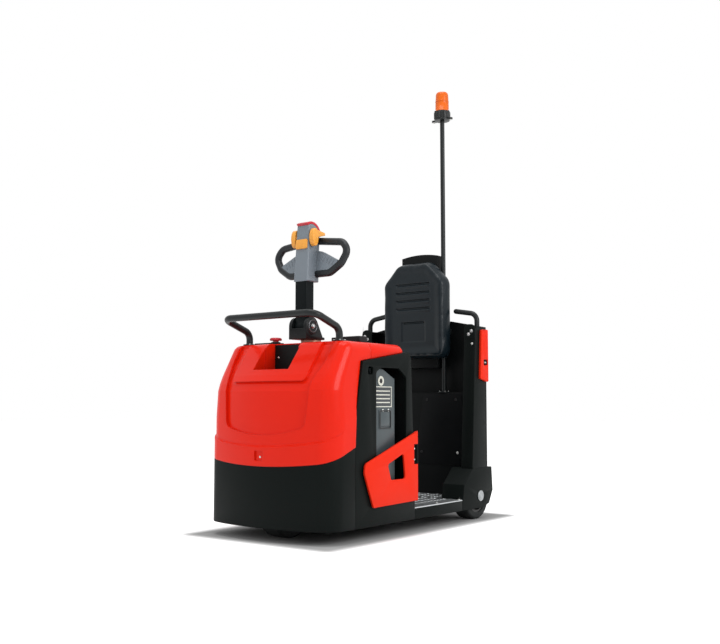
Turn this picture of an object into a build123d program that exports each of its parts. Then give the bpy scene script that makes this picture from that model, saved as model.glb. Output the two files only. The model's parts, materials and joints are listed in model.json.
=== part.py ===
"""Electric stand-on baggage tug: front power unit with a tiller, step-in platform, backrest wall.

The front of the vehicle faces -Y, its left side is +X, and the floor is Z = 0. The origin lies on
the floor under the middle of the vehicle. Lengths are millimetres. A setback is a distance measured
rearwards from the front face of the skirt.
"""
import os
from math import acos, atan, atan2, cos, hypot, radians, sin

from build123d import *

os.makedirs("parts", exist_ok=True)

# ---- whole vehicle ---------------------------------------------------------------------------
body_width = 600
ground_clearance = 47
floor_height = 92
hood_top = 706
wall_top = 845
plate_steel = 12          # skirt and side frames
plate_thin = 6            # housings, columns and walls
seat_gap = 0.3            # soft or loose pieces to what carries them
move_gap = 5              # between pieces that move past each other
fit_gap = 0.05            # radial, shafts in their bores

half_width = body_width / 2
frame_inner = half_width - plate_steel

# ---- lengths along the vehicle, as setbacks ----------------------------------------------------
skirt_end = 176           # skirt to side frames
seam_setback = 281        # hood to dash cover
seam_gap = 2
dash_rear = 502
frame_foot_rear = dash_rear + 42
platform_length = 346
rail_rear = frame_foot_rear + platform_length
rear_axle_setback = rail_rear + 147
wall_setback = rear_axle_setback + 53
wall_thickness = 8
coupling_reach = 70
eye_radius = 42
coupling_bore_setback = wall_setback + wall_thickness + coupling_reach
overall_length = coupling_bore_setback + eye_radius
front_y = -overall_length / 2

# ---- front skirt and hood --------------------------------------------------------------------
bow_depth = 52            # how far the front face curves back at the sides
corner_radius = 80
parting_height = 262      # skirt to hood line at the front face
parting_slope = 0.39      # the line climbs towards the rear
hood_wall = 4
hood_low = parting_height - 10
brow_height = hood_top - 150
hood_face = 8             # setback of the hood's face above the band
top_inset = 13
top_radius = 36
hood_stages = [           # height, inset of the sides, setback of the face, bow, corner radius
    (hood_top - 276, 0, hood_face, bow_depth, corner_radius),
    (brow_height - 26, 7, 11, bow_depth, corner_radius),
    (brow_height, 8, 19, bow_depth, corner_radius),
    (brow_height + 29, 9, 38, bow_depth - 7, corner_radius - 4),
    (hood_top, top_inset, 134, bow_depth - 38, corner_radius - 18),
]
crease_height = 331       # top of the band above the parting line
crease_slope = 0.5
recess_depth = 9
recess_half_width = 190
recess_low = 372
recess_rise = 30          # the recess's lower edge curves up to its sides
recess_corner = 28
recess_rear = 150
pad_half_width = 177
pad_low = brow_height + 6
pad_corner = 15
notch_half_width = 86
notch_rear_half_width = 80
notch_step = 122
notch_back = 172
notch_floor = hood_top - 100
pocket_height = 299
pocket_width, pocket_tall, pocket_depth = 40, 34, 7
pocket_corner = 5
dash_radius = 26

# ---- side frames and battery bay ---------------------------------------------------------------
frame_corner = (skirt_end + 8, 472)
frame_top_front = (skirt_end + 42, hood_top - 70)
frame_top_seam = (seam_setback, hood_top - 62)
frame_top_rear = (dash_rear + 11, hood_top - 27)
frame_waist_rear = (dash_rear + 21, hood_top - 57)
bridge_height = hood_top - 72
bridge_thickness = 12
battery_front = seam_setback + 3
battery_rear = battery_front + 152
battery_apex = battery_front + 74
battery_half_width = frame_inner - 4
battery_top = bridge_height - bridge_thickness - 10
battery_slope_drop = 37
battery_floor_thickness = 8
opening_front = battery_front + 15
opening_rear = dash_rear - 12
opening_floor = 150
opening_top = battery_top + 2
opening_radius = 16
console_setback = dash_rear - 2
console_top = hood_top - 30

# ---- gates -----------------------------------------------------------------------------------
gate_thickness = 8
gate_rear = frame_foot_rear + 5
gate_notch_low = 255
gate_notch_high = 330
gate_notch_length = 27
hinge_barrel_radius = 5
hinge_pin_radius = 2.5
hinge_leaf = 6

# ---- rear body ---------------------------------------------------------------------------------
tread_thickness = 5
rail_width = 40
cabinet_front = wall_setback - 50
cabinet_top = wall_top - 314
column_top = wall_top - 34
column_front_foot = wall_setback - 116
column_front_top = wall_setback - 80
column_inner = half_width - 55
lug_low = column_top - 54
lug_rise = 9
lug_radius = 22
housing_inner = half_width - 103

# ---- wheels ----------------------------------------------------------------------------------
rear_wheel_radius = 97
rear_tyre_width = 70
rear_wheel_x = half_width - 51
axle_radius = 12.5
housing_top = 2 * rear_wheel_radius + 20
drive_axis_setback = 145
drive_wheel_radius = 115
drive_tyre_width = 75

# ---- tiller ----------------------------------------------------------------------------------
steer_axis_setback = 285
pivot_setback = 242
neck_radius = 37
neck_hole_radius = 43
hub_half_width = 43
hub_radius = 36
hub_foot = hood_top + 18
pivot_height = hub_foot + 49
knuckle_top = pivot_height + 43
column_half_width = 29
column_depth = 48
column_length = 128
head_bottom = knuckle_top + column_length
crown_height = head_bottom + 180
crown_setback = 258
crown_radius = 42
loop_setback = 278
loop_low = head_bottom + 31
loop_height = 130
loop_lean = 15
loop_tube_radius = 14

# ---- backrest, handles and mast --------------------------------------------------------------
cushion_front = wall_setback - 120
cushion_thickness = 65
cushion_edge = 25         # straight part of the cushion's side, behind its sloping border
cushion_border_angle = 32
cushion_half_width = 168
cushion_low = wall_top - 170
cushion_height = 435
cushion_high = cushion_low + cushion_height
cushion_back = cushion_front + cushion_thickness + seat_gap
carrier_half_width = 95
carrier_wall = 5
carrier_low = cushion_low - 35
carrier_high = cushion_high + 37
handle_radius = 11
handle_x = half_width - 15
handle_setback = wall_setback - 42
mast_radius = 10
mast_x = 115
mast_setback = wall_setback - 38
mast_length = 1215

# ---- guard bar and dash controls ---------------------------------------------------------------
guard_radius = 13
guard_half_width = half_width - 78
guard_foot_setback = 181
guard_front_setback = 42
guard_knee = hood_top + 47
guard_height = hood_top + 94
stop_base_thickness = 8
stop_setback = 212
stop_base_x = 152 - half_width
display_x = half_width - 135
display_setback = 312


def at(setback):
    """Y of a place given by its distance behind the front face."""
    return front_y + setback


def save(piece, name):
    """Label a finished piece and write it under its node name."""
    piece.part.label = name
    export_step(piece.part, f"parts/{name}.step")


def front_outline(inset, rear, shift=0, bow=bow_depth, corner=corner_radius):
    """Plan of the front body: inset all round, its front moved back by a shift, closed at a setback."""
    half = half_width - inset
    front = at(inset + shift)
    with BuildSketch() as outline:
        with BuildLine():
            face = ThreePointArc((-half, front + bow), (0, front), (half, front + bow))
            Polyline(face @ 1, (half, at(rear)), (-half, at(rear)), face @ 0)
        make_face()
        fillet(outline.vertices().sort_by(Axis.Y)[0:2], corner - inset)
    return outline.sketch


def side_outline(points):
    """Face in the YZ plane from (setback, height) pairs."""
    with BuildSketch() as outline:
        with BuildLine():
            Polyline([(at(setback), height) for setback, height in points], close=True)
        make_face()
    return outline.sketch


def parting(setback):
    """Height of the skirt to hood line."""
    return parting_height + parting_slope * setback


def crease(setback):
    """Height of the line where the hood steps in above its band."""
    return crease_height + crease_slope * setback


def mirrored(piece):
    """The same piece on the vehicle's other side."""
    return mirror(piece.part, about=Plane.YZ)


# ---- front skirt: a bent band of thick plate round the drive unit ------------------------------
skirt_top = parting(skirt_end)
with BuildPart() as front_skirt:
    with BuildSketch(Plane.XY.offset(ground_clearance)):
        add(front_outline(0, skirt_end))
        add(front_outline(plate_steel, skirt_end), mode=Mode.SUBTRACT)
    extrude(amount=skirt_top - ground_clearance)
    with BuildSketch(Plane.YZ):
        add(side_outline([(-1, parting(-1)), (skirt_end, skirt_top), (skirt_end, skirt_top + 1), (-1, skirt_top + 1)]))
    extrude(amount=half_width, both=True, mode=Mode.SUBTRACT)
save(front_skirt, "front_skirt")


def hood_form(wall):
    """Body of the hood: upright lower part, rounded brow, upper part that leans back, rounded top."""
    stages = []
    for height, inset, face, bow, corner in hood_stages:
        drop = wall if height == hood_top else wall / 3
        stages.append((height - drop, inset + wall, face - inset, bow, corner))
    with BuildPart() as form:
        with BuildSketch(Plane.XY.offset(hood_low)):
            add(front_outline(wall, seam_setback, hood_face))
        extrude(amount=stages[0][0] - hood_low)
        for pair in zip(stages, stages[1:]):
            for height, inset, shift, bow, corner in pair:
                with BuildSketch(Plane.XY.offset(height)):
                    add(front_outline(inset, seam_setback, shift, bow, corner))
            loft(ruled=True)
        top_edges = form.faces().sort_by(Axis.Z)[-1].edges()
        fillet(top_edges.filter_by(lambda edge: edge.center().Y < at(seam_setback) - 1), top_radius - wall)
    return form.part


def hood_band(wall):
    """Foot of the hood, flush with the skirt and cut off along the crease."""
    top = crease(seam_setback)
    with BuildPart() as band:
        with BuildSketch(Plane.XY.offset(hood_low)):
            add(front_outline(wall, seam_setback))
        extrude(amount=top - hood_low)
        with BuildSketch(Plane.YZ):
            add(side_outline([
                (-1, crease(-1) - wall), (seam_setback, top - wall), (seam_setback, top + 1), (-1, top + 1),
            ]))
        extrude(amount=half_width, both=True, mode=Mode.SUBTRACT)
    return band.part


def hood_shape(wall):
    """Hood with its front set back between the sides, apart from the pad under the notch."""
    half = recess_half_width + wall
    side = recess_low - wall + recess_rise
    with BuildPart() as shape:
        add(hood_form(wall))
        with BuildSketch(Plane.XZ.offset(-at(-1))) as recess:
            with BuildLine():
                low = ThreePointArc((-half, side), (0, recess_low - wall), (half, side))
                Polyline(
                    low @ 1, (half + 14, brow_height), (half + 38, brow_height + 80), (half + 40, hood_top + 1),
                    (-half - 40, hood_top + 1), (-half - 38, brow_height + 80), (-half - 14, brow_height), low @ 0,
                )
            make_face()
            fillet(recess.vertices().group_by(Axis.Y)[0], recess_corner + wall)
            with Locations((0, (pad_low + wall + hood_top) / 2 + pad_corner)):
                RectangleRounded(
                    2 * (pad_half_width - wall), hood_top - pad_low - wall + 2 * pad_corner, pad_corner - wall,
                    mode=Mode.SUBTRACT,
                )
        extrude(amount=-(recess_rear + 1 + wall), mode=Mode.SUBTRACT)
        add(hood_form(wall + recess_depth))
        add(hood_band(wall))
    return shape.part


def notch_plan(grow):
    """Plan of the notch in front of the tiller, open to the front."""
    wide = notch_half_width + grow
    narrow = notch_rear_half_width + grow
    front = at(hood_face)
    step = at(notch_step + grow)
    with BuildSketch() as plan:
        with BuildLine():
            Polyline(
                (-wide, front), (wide, front), (wide, step), (narrow, step), (narrow, at(notch_back)),
                (-narrow, at(notch_back)), (-narrow, step), (-wide, step), close=True,
            )
        make_face()
    return plan.sketch


# ---- hood: a moulded shell over the drive unit -------------------------------------------------
with BuildPart() as notch_walls:
    with BuildSketch(Plane.XY.offset(notch_floor - hood_wall)):
        add(notch_plan(hood_wall))
        add(notch_plan(0), mode=Mode.SUBTRACT)
    extrude(amount=hood_top)
    add(hood_form(0), mode=Mode.INTERSECT)

with BuildPart() as front_hood:
    add(hood_shape(0))
    add(hood_shape(hood_wall), mode=Mode.SUBTRACT)
    with BuildSketch(Plane.YZ):
        add(side_outline([
            (-1, hood_low - 1), (-1, parting(-1)), (skirt_end, skirt_top), frame_corner, frame_top_front,
            (seam_setback + 1, frame_top_seam[1] + seam_gap), (seam_setback + 1, hood_low - 1),
        ]))
    extrude(amount=half_width + 1, both=True, mode=Mode.SUBTRACT)
    with BuildSketch(Plane.XY.offset(notch_floor)):
        add(notch_plan(0))
    extrude(amount=hood_top, mode=Mode.SUBTRACT)
    add(notch_walls.part)
    with Locations((0, at(steer_axis_setback), hood_top)):
        Cylinder(neck_hole_radius, 2 * top_radius, mode=Mode.SUBTRACT)
    with BuildSketch(Plane.XZ.offset(-at(pocket_depth + hood_wall))):
        with Locations((0, pocket_height)):
            RectangleRounded(pocket_width + 2 * hood_wall, pocket_tall + 2 * hood_wall, pocket_corner)
    extrude(amount=pocket_depth)
    with BuildSketch(Plane.XZ.offset(-at(pocket_depth))):
        with Locations((0, pocket_height)):
            RectangleRounded(pocket_width, pocket_tall, pocket_corner)
    extrude(amount=pocket_depth + 1, mode=Mode.SUBTRACT)
save(front_hood, "front_hood")

# ---- tray that closes the notch in the hood ----------------------------------------------------
with BuildPart() as hood_tray:
    with BuildSketch(Plane.XY.offset(notch_floor - hood_wall)):
        add(notch_plan(0))
    extrude(amount=hood_wall)
    add(hood_form(hood_wall), mode=Mode.INTERSECT)
    with Locations((0, at(notch_back + hood_wall / 2), (notch_floor + hood_top) / 2 - hood_wall)):
        Box(2 * (notch_rear_half_width + hood_wall), hood_wall, hood_top - notch_floor)
save(hood_tray, "hood_tray")


def dash_form(wall):
    """Body of the dash, with the hood's cross-section at the seam."""
    side = half_width - hood_stages[2][1] - wall
    top = half_width - top_inset - wall
    with BuildPart() as form:
        with BuildSketch(Plane.XZ.offset(-at(dash_rear - wall))) as section:
            with BuildLine():
                Polyline(
                    (-side, brow_height), (-top, hood_top - wall), (top, hood_top - wall), (side, brow_height),
                    close=True,
                )
            make_face()
            fillet(section.vertices().group_by(Axis.Y)[-1], top_radius - wall)
        extrude(amount=dash_rear - wall - seam_setback - seam_gap)
        rear_edges = form.faces().sort_by(Axis.Y)[-1].edges()
        fillet(rear_edges.filter_by(lambda edge: edge.center().Z > brow_height + 1), dash_radius - wall)
    return form.part


# ---- dash cover: the hood's rear part, over the battery ----------------------------------------
with BuildPart() as dash_cover:
    add(dash_form(0))
    add(dash_form(hood_wall), mode=Mode.SUBTRACT)
    with BuildSketch(Plane.YZ):
        add(side_outline([
            (seam_setback, 0), (seam_setback, frame_top_seam[1] + seat_gap),
            (frame_top_rear[0], frame_top_rear[1] + seat_gap), (frame_top_rear[0], 0),
        ]))
    extrude(amount=half_width + 1, both=True, mode=Mode.SUBTRACT)
    with Locations((0, at(steer_axis_setback), hood_top)):
        Cylinder(neck_hole_radius, 2 * top_radius, mode=Mode.SUBTRACT)
save(dash_cover, "dash_cover")

# ---- side frames: thick plates with the battery opening ----------------------------------------
with BuildPart() as side_frames:
    with BuildSketch(Plane.YZ.offset(frame_inner)):
        add(side_outline([
            (skirt_end, ground_clearance), (skirt_end, skirt_top), (skirt_end + seam_gap, skirt_top),
            (frame_corner[0] + seam_gap, frame_corner[1]),
            (frame_top_front[0] + seam_gap, frame_top_front[1] - seam_gap), frame_top_seam, frame_top_rear,
            frame_waist_rear, (frame_foot_rear, 119), (frame_foot_rear, ground_clearance),
        ]))
        with BuildSketch(mode=Mode.SUBTRACT) as opening:
            add(side_outline([
                (opening_front, opening_floor), (opening_front, opening_top - 17), (opening_front + 31, opening_top),
                (opening_rear - 48, opening_top), (opening_rear, opening_top - 32), (opening_rear - 4, opening_floor),
            ]))
            fillet(opening.vertices(), opening_radius)
        with BuildSketch(mode=Mode.SUBTRACT) as hand_hole:
            add(side_outline([
                (seam_setback - 34, hood_top - 119), (seam_setback - 30, hood_top - 90), (seam_setback, hood_top - 90),
                (seam_setback - 4, hood_top - 119),
            ]))
            fillet(hand_hole.vertices(), 8)
    extrude(amount=plate_steel)
    mirror(about=Plane.YZ)
save(side_frames, "side_frames")

# ---- drive mount: cross plate that carries the drive unit's slewing bearing --------------------
mount_height = 292
mount_thickness = 12
mount_rear = battery_front - plate_steel
slew_radius = 40
with BuildPart() as drive_mount:
    with BuildSketch(Plane.XY.offset(mount_height)):
        add(front_outline(plate_steel, mount_rear))
        with Locations((0, at(drive_axis_setback))):
            Circle(slew_radius + fit_gap, mode=Mode.SUBTRACT)
    extrude(amount=-mount_thickness)
save(drive_mount, "drive_mount")

# ---- floor frame: rails, battery tray and cross members ----------------------------------------
rail_height = floor_height - tread_thickness - ground_clearance
tray_front = battery_front - 10
with BuildPart() as floor_frame:
    with BuildSketch(Plane.XY.offset(ground_clearance)):
        with Locations((0, at((frame_foot_rear + rail_rear) / 2))):
            Rectangle(body_width, platform_length)
            Rectangle(body_width - 2 * rail_width, platform_length - 2 * rail_width, mode=Mode.SUBTRACT)
        with Locations((0, at((rail_rear + wall_setback) / 2))):
            Rectangle(2 * housing_inner, wall_setback - rail_rear)
    extrude(amount=rail_height)
    with BuildSketch(Plane.XY.offset(opening_floor)):
        with Locations((0, at((tray_front + frame_foot_rear) / 2))):
            Rectangle(2 * frame_inner, frame_foot_rear - tray_front)
    extrude(amount=-battery_floor_thickness)
    for setback in (tray_front, frame_foot_rear - plate_steel):
        with BuildSketch(Plane.XY.offset(ground_clearance)):
            with Locations((0, at(setback + plate_steel / 2))):
                Rectangle(2 * frame_inner, plate_steel)
        extrude(amount=opening_floor - ground_clearance - battery_floor_thickness)
save(floor_frame, "floor_frame")

# ---- tread plate -------------------------------------------------------------------------------
with BuildPart() as tread_plate:
    with BuildSketch(Plane.XY.offset(floor_height)):
        with Locations((0, at((frame_foot_rear + rail_rear) / 2))):
            Rectangle(body_width, platform_length)
        with Locations((0, at((rail_rear + cabinet_front) / 2))):
            Rectangle(2 * housing_inner, cabinet_front - rail_rear)
    extrude(amount=-tread_thickness)
save(tread_plate, "tread_plate")

# ---- console back: the panel that faces the driver ---------------------------------------------
with BuildPart() as console_back:
    with BuildSketch(Plane.XZ.offset(-at(console_setback))):
        with Locations((0, (opening_floor + console_top) / 2)):
            Rectangle(2 * frame_inner, console_top - opening_floor)
    extrude(amount=plate_thin)
save(console_back, "console_back")

# ---- battery -----------------------------------------------------------------------------------
with BuildPart() as battery_case:
    with BuildSketch(Plane.YZ):
        add(side_outline([
            (battery_front, opening_floor), (battery_front, battery_top), (battery_apex, battery_top),
            (battery_rear, battery_top - battery_slope_drop), (battery_rear, opening_floor),
        ]))
    extrude(amount=battery_half_width, both=True)
save(battery_case, "battery_case")

socket_setback = battery_front + 62
socket_height = battery_top - 46
socket_radius = 18
socket_depth = 3
with BuildPart() as battery_sockets:
    with BuildSketch(Plane.YZ.offset(battery_half_width)):
        with Locations((at(socket_setback), socket_height)):
            Circle(socket_radius)
            Circle(socket_radius / 2, mode=Mode.SUBTRACT)
    extrude(amount=socket_depth)
    mirror(about=Plane.YZ)
save(battery_sockets, "battery_sockets")

# ---- gates: plates whose rear edge is rolled round the hinge pin -------------------------------
gate_inner = half_width + move_gap
hinge_x = gate_inner + gate_thickness / 2
hinge_setback = gate_rear - gate_thickness / 2
gate_low, gate_high = 119, 379
gate_tip = [(-284, gate_low - 5), (-338, 240), (-331, 271)]          # from the rear edge
window = [(-198, 262), (-96, 299), (-85, 205), (-177, 205)]
with BuildPart() as gate_left:
    with BuildSketch(Plane.YZ.offset(gate_inner)):
        with BuildSketch() as leaf:
            tip = [(gate_rear + reach, height) for reach, height in gate_tip]
            add(side_outline(tip + [(hinge_setback, gate_high), (hinge_setback, gate_low)]))
            fillet(leaf.vertices().sort_by(Axis.X)[0:2], 20)
            fillet(leaf.vertices().group_by(Axis.Y)[0], 6)
        with BuildSketch(mode=Mode.SUBTRACT) as cut_out:
            add(side_outline([(gate_rear + reach, height) for reach, height in window]))
            fillet(cut_out.vertices(), 10)
    extrude(amount=gate_thickness)
    with BuildSketch(Plane.XY.offset(gate_low)):
        with Locations((hinge_x, at(hinge_setback))):
            Circle(gate_thickness / 2)
    extrude(amount=gate_high - gate_low)
    with BuildSketch(Plane.YZ.offset(gate_inner)):
        with Locations((at(gate_rear), (gate_notch_low + gate_notch_high) / 2)):
            Rectangle(2 * gate_notch_length, gate_notch_high - gate_notch_low)
    extrude(amount=gate_thickness, mode=Mode.SUBTRACT)
    with BuildSketch(Plane.XY.offset(gate_low)):
        with Locations((hinge_x, at(hinge_setback))):
            Circle(hinge_pin_radius + fit_gap)
    extrude(amount=gate_high, mode=Mode.SUBTRACT)
save(gate_left, "gate_left")

with BuildPart() as gate_right:
    add(mirrored(gate_left))
save(gate_right, "gate_right")

# ---- gate hinges: barrel, leaf and pin fixed to the side frame ---------------------------------
barrel_play = 1
leaf_front = gate_rear - gate_notch_length + move_gap
with BuildPart() as gate_hinges:
    with BuildSketch(Plane.XY.offset(gate_notch_low + barrel_play)):
        with Locations((hinge_x, at(hinge_setback))):
            Circle(hinge_barrel_radius)
    extrude(amount=gate_notch_high - gate_notch_low - 2 * barrel_play)
    with BuildSketch(Plane.XY.offset(gate_notch_low + move_gap)):
        with Locations((half_width + hinge_leaf / 2, at((leaf_front + hinge_setback) / 2))):
            Rectangle(hinge_leaf, hinge_setback - leaf_front)
    extrude(amount=gate_notch_high - gate_notch_low - 2 * move_gap)
    with BuildSketch(Plane.XY.offset(gate_low + move_gap)):
        with Locations((hinge_x, at(hinge_setback))):
            Circle(hinge_pin_radius)
    extrude(amount=gate_high - gate_low - 2 * move_gap)
    mirror(about=Plane.YZ)
save(gate_hinges, "gate_hinges")

# ---- wheel housings: fender plate, sloped step and inner wall ----------------------------------
step_foot = (rail_rear, ground_clearance)
step_knee = (rail_rear + 6, floor_height + 1)
step_waist = (rail_rear + 18, housing_top - 64)
step_head = (rail_rear + 87, housing_top)
housing_rear = rear_axle_setback + 96
fender = [
    step_foot, step_knee, step_waist, step_head, (housing_rear, housing_top - 1), (rear_axle_setback + 104, 115),
    (rear_axle_setback + 73, ground_clearance + 15), (rear_axle_setback + 23, ground_clearance),
]
with BuildPart() as wheel_housings:
    for plane in (Plane.YZ.offset(half_width - plate_thin), Plane.YZ.offset(housing_inner)):
        with BuildSketch(plane):
            add(side_outline(fender))
            with Locations((at(rear_axle_setback), rear_wheel_radius)):
                Circle(axle_radius + fit_gap, mode=Mode.SUBTRACT)
        extrude(amount=plate_thin)
    with BuildSketch(Plane.YZ.offset(housing_inner)):
        add(side_outline([
            step_foot, step_knee, step_waist, step_head, (housing_rear, housing_top),
            (housing_rear, housing_top - plate_thin), (step_head[0] + 2.4, housing_top - plate_thin),
            (step_waist[0] + 5, step_waist[1] - 3), (step_knee[0] + plate_thin, floor_height),
            (rail_rear + plate_thin, ground_clearance),
        ]))
    extrude(amount=half_width - housing_inner)
    mirror(about=Plane.YZ)
save(wheel_housings, "wheel_housings")

# ---- rear axles and their caps -----------------------------------------------------------------
with BuildPart() as rear_axles:
    with BuildSketch(Plane.YZ.offset(housing_inner)):
        with Locations((at(rear_axle_setback), rear_wheel_radius)):
            Circle(axle_radius)
    extrude(amount=half_width - housing_inner)
    mirror(about=Plane.YZ)
save(rear_axles, "rear_axles")

with BuildPart() as axle_caps:
    for radius, reach in ((22, 3), (17, 5)):
        with BuildSketch(Plane.YZ.offset(half_width)):
            with Locations((at(rear_axle_setback), rear_wheel_radius)):
                Circle(radius)
        extrude(amount=reach)
    mirror(about=Plane.YZ)
save(axle_caps, "axle_caps")


def wheel_ring(radius, inner, half):
    """Half section of a ring, drawn as (distance along the axle, distance from it) from its middle."""
    with BuildSketch() as ring:
        with Locations((0, (radius + inner) / 2)):
            Rectangle(2 * half, radius - inner)
    return ring.sketch


# ---- rear wheels -------------------------------------------------------------------------------
rim_radius = 70
rim_hub_radius = 26
rim_bead = 10
rim_inset = 4
rim_web = 14
for side, name in ((1, "left"), (-1, "right")):
    wheel_plane = Plane((side * rear_wheel_x, at(rear_axle_setback), rear_wheel_radius))
    axle = Axis(wheel_plane.origin, (1, 0, 0))
    with BuildPart() as tyre:
        with BuildSketch(wheel_plane) as tread:
            add(wheel_ring(rear_wheel_radius, rim_radius, rear_tyre_width / 2))
            fillet(tread.vertices().group_by(Axis.Y)[-1], 9)
        revolve(axis=axle)
    save(tyre, f"rear_tyre_{name}")
    with BuildPart() as rim:
        with BuildSketch(wheel_plane):
            add(wheel_ring(rim_radius, rim_radius - rim_bead, rear_tyre_width / 2 - rim_inset))
            add(wheel_ring(rim_radius - rim_bead, rim_hub_radius, rim_web / 2))
            add(wheel_ring(rim_hub_radius, axle_radius + fit_gap, rear_tyre_width / 2 - rim_inset))
        revolve(axis=axle)
    save(rim, f"rear_rim_{name}")

# ---- rear columns: bent channels that stand on the wheel housings ------------------------------
column_run = (column_front_top - column_front_foot) / (column_top - housing_top)
face_top = column_front_foot + column_run * (lug_low - housing_top)
with BuildPart() as rear_columns:
    with BuildSketch(Plane.YZ.offset(half_width)):
        add(side_outline([
            (column_front_foot, housing_top), (column_front_top, column_top), (wall_setback, column_top),
            (wall_setback, housing_top),
        ]))
    extrude(amount=-plate_thin)
    with BuildSketch(Plane.YZ.offset(column_inner)):
        add(side_outline([
            (column_front_foot, housing_top), (face_top, lug_low), (face_top + plate_thin, lug_low),
            (column_front_foot + plate_thin, housing_top),
        ]))
    extrude(amount=half_width - column_inner)
    with BuildSketch(Plane.XZ.offset(-at(column_front_top))) as lug:
        with Locations(((column_inner + half_width) / 2, (lug_low + column_top + lug_rise) / 2)):
            Rectangle(half_width - column_inner, column_top + lug_rise - lug_low)
        fillet(lug.vertices().group_by(Axis.Y)[-1], lug_radius)
    extrude(amount=plate_thin)
    with BuildSketch(Plane.XY.offset(column_top)):
        with Locations(((column_inner + half_width) / 2, at((column_front_top + wall_setback) / 2))):
            Rectangle(half_width - column_inner, wall_setback - column_front_top)
    extrude(amount=-plate_thin)
    mirror(about=Plane.YZ)
save(rear_columns, "rear_columns")

# ---- rear wall ---------------------------------------------------------------------------------
with BuildPart() as rear_wall:
    with BuildSketch(Plane.XZ.offset(-at(wall_setback))):
        with BuildLine():
            Polyline(
                (-housing_inner, ground_clearance), (-housing_inner, housing_top), (-half_width, housing_top),
                (-half_width, column_top), (-130, wall_top), (130, wall_top), (half_width, column_top),
                (half_width, housing_top), (housing_inner, housing_top), (housing_inner, ground_clearance),
                close=True,
            )
        make_face()
    extrude(amount=-wall_thickness)
save(rear_wall, "rear_wall")

# ---- rear cabinet and its cover ----------------------------------------------------------------
cabinet_wall = 3
with BuildPart() as rear_cabinet:
    for inset, mode in ((0, Mode.ADD), (cabinet_wall, Mode.SUBTRACT)):
        foot = housing_inner - inset
        body = column_inner - inset
        with BuildSketch(Plane.XZ.offset(-at(cabinet_front + inset))):
            with BuildLine():
                Polyline(
                    (-foot, floor_height - tread_thickness + inset), (-foot, housing_top + inset),
                    (-body, housing_top + inset), (-body, cabinet_top - inset), (body, cabinet_top - inset),
                    (body, housing_top + inset), (foot, housing_top + inset),
                    (foot, floor_height - tread_thickness + inset), close=True,
                )
            make_face()
        extrude(amount=-(wall_setback - cabinet_front - inset), mode=mode)
save(rear_cabinet, "rear_cabinet")

cover_drop = 4
with BuildPart() as service_cover:
    with BuildSketch(Plane.XZ.offset(-at(cabinet_front))) as cover_face:
        with BuildLine():
            Polyline(
                (18, cabinet_top - cover_drop), (column_inner - 33, cabinet_top - cover_drop),
                (column_inner - 9, housing_top + 6), (-30, housing_top + 6), close=True,
            )
        make_face()
        fillet(cover_face.vertices(), 8)
    extrude(amount=4)
save(service_cover, "service_cover")

# ---- side covers on the columns ----------------------------------------------------------------
cover_thickness = 12
latch_place = (at(wall_setback - 16), wall_top - 187)
with BuildPart() as side_covers:
    with BuildSketch(Plane.YZ.offset(half_width)):
        with BuildSketch() as panel:
            add(side_outline([
                (wall_setback - 47, wall_top - 48), (wall_setback + 6, wall_top - 45),
                (wall_setback + 6, wall_top - 271), (wall_setback - 60, wall_top - 257),
            ]))
            fillet(panel.vertices(), 7)
        with Locations(latch_place):
            RectangleRounded(34, 24, 4, mode=Mode.SUBTRACT)
    extrude(amount=cover_thickness)
    mirror(about=Plane.YZ)
save(side_covers, "side_covers")

with BuildPart() as side_latches:
    with BuildSketch(Plane.YZ.offset(half_width)):
        with Locations(latch_place):
            RectangleRounded(28, 16, 3)
    extrude(amount=cover_thickness - 3)
    mirror(about=Plane.YZ)
save(side_latches, "side_latches")


def carrier_outline(inset):
    """Front view of the backrest carrier, its top a shallow arch."""
    half = carrier_half_width - inset
    low = carrier_low + inset
    high = carrier_high - inset
    with BuildSketch() as outline:
        with BuildLine():
            arch = ThreePointArc((-half, high - 10), (0, high), (half, high - 10))
            Polyline(arch @ 1, (half, low), (-half, low), arch @ 0)
        make_face()
    return outline.sketch


# ---- backrest: a sheet channel open to the rear, with the cushion on its face ------------------
with BuildPart() as backrest_carrier:
    with BuildSketch(Plane.XZ.offset(-at(cushion_back))):
        add(carrier_outline(0))
    extrude(amount=-(wall_setback - cushion_back))
    with BuildSketch(Plane.XZ.offset(-at(cushion_back + carrier_wall))):
        add(carrier_outline(carrier_wall))
    extrude(amount=-(wall_setback - cushion_back), mode=Mode.SUBTRACT)
save(backrest_carrier, "backrest_carrier")

cushion_shoulder = 90
cushion_top_half_width = 80
with BuildPart() as backrest_cushion:
    with BuildSketch(Plane.XZ.offset(-at(cushion_front + cushion_thickness))) as pad_outline:
        with BuildLine():
            Polyline(
                (-cushion_half_width, cushion_low), (-cushion_half_width + 3, cushion_high - cushion_shoulder),
                (-cushion_top_half_width, cushion_high), (cushion_top_half_width, cushion_high),
                (cushion_half_width - 3, cushion_high - cushion_shoulder), (cushion_half_width, cushion_low),
                close=True,
            )
        make_face()
        fillet(pad_outline.vertices().group_by(Axis.Y)[0], 42)
        fillet(pad_outline.vertices().group_by(Axis.Y)[2:], 26)
    extrude(amount=cushion_edge)
    extrude(
        backrest_cushion.faces().sort_by(Axis.Y)[0], amount=cushion_thickness - cushion_edge,
        taper=cushion_border_angle,
    )
save(backrest_cushion, "backrest_cushion")

# ---- grab handles: bent tubes that stand on the column tops, their tips rounded -----------------
handle_bend = column_top + 55
handle_reach = 104
handle_rise = 17
with BuildPart() as grab_handles:
    with BuildLine() as route:
        FilletPolyline(
            (handle_x, at(handle_setback), column_top), (handle_x, at(handle_setback), handle_bend),
            (handle_x - handle_reach, at(handle_setback), handle_bend + handle_rise), radius=36,
        )
    with BuildSketch(Plane(route.line @ 0, z_dir=route.line % 0)):
        Circle(handle_radius)
    sweep()
    with Locations(route.line @ 1):
        Sphere(handle_radius)
    mirror(about=Plane.YZ)
save(grab_handles, "grab_handles")

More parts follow.
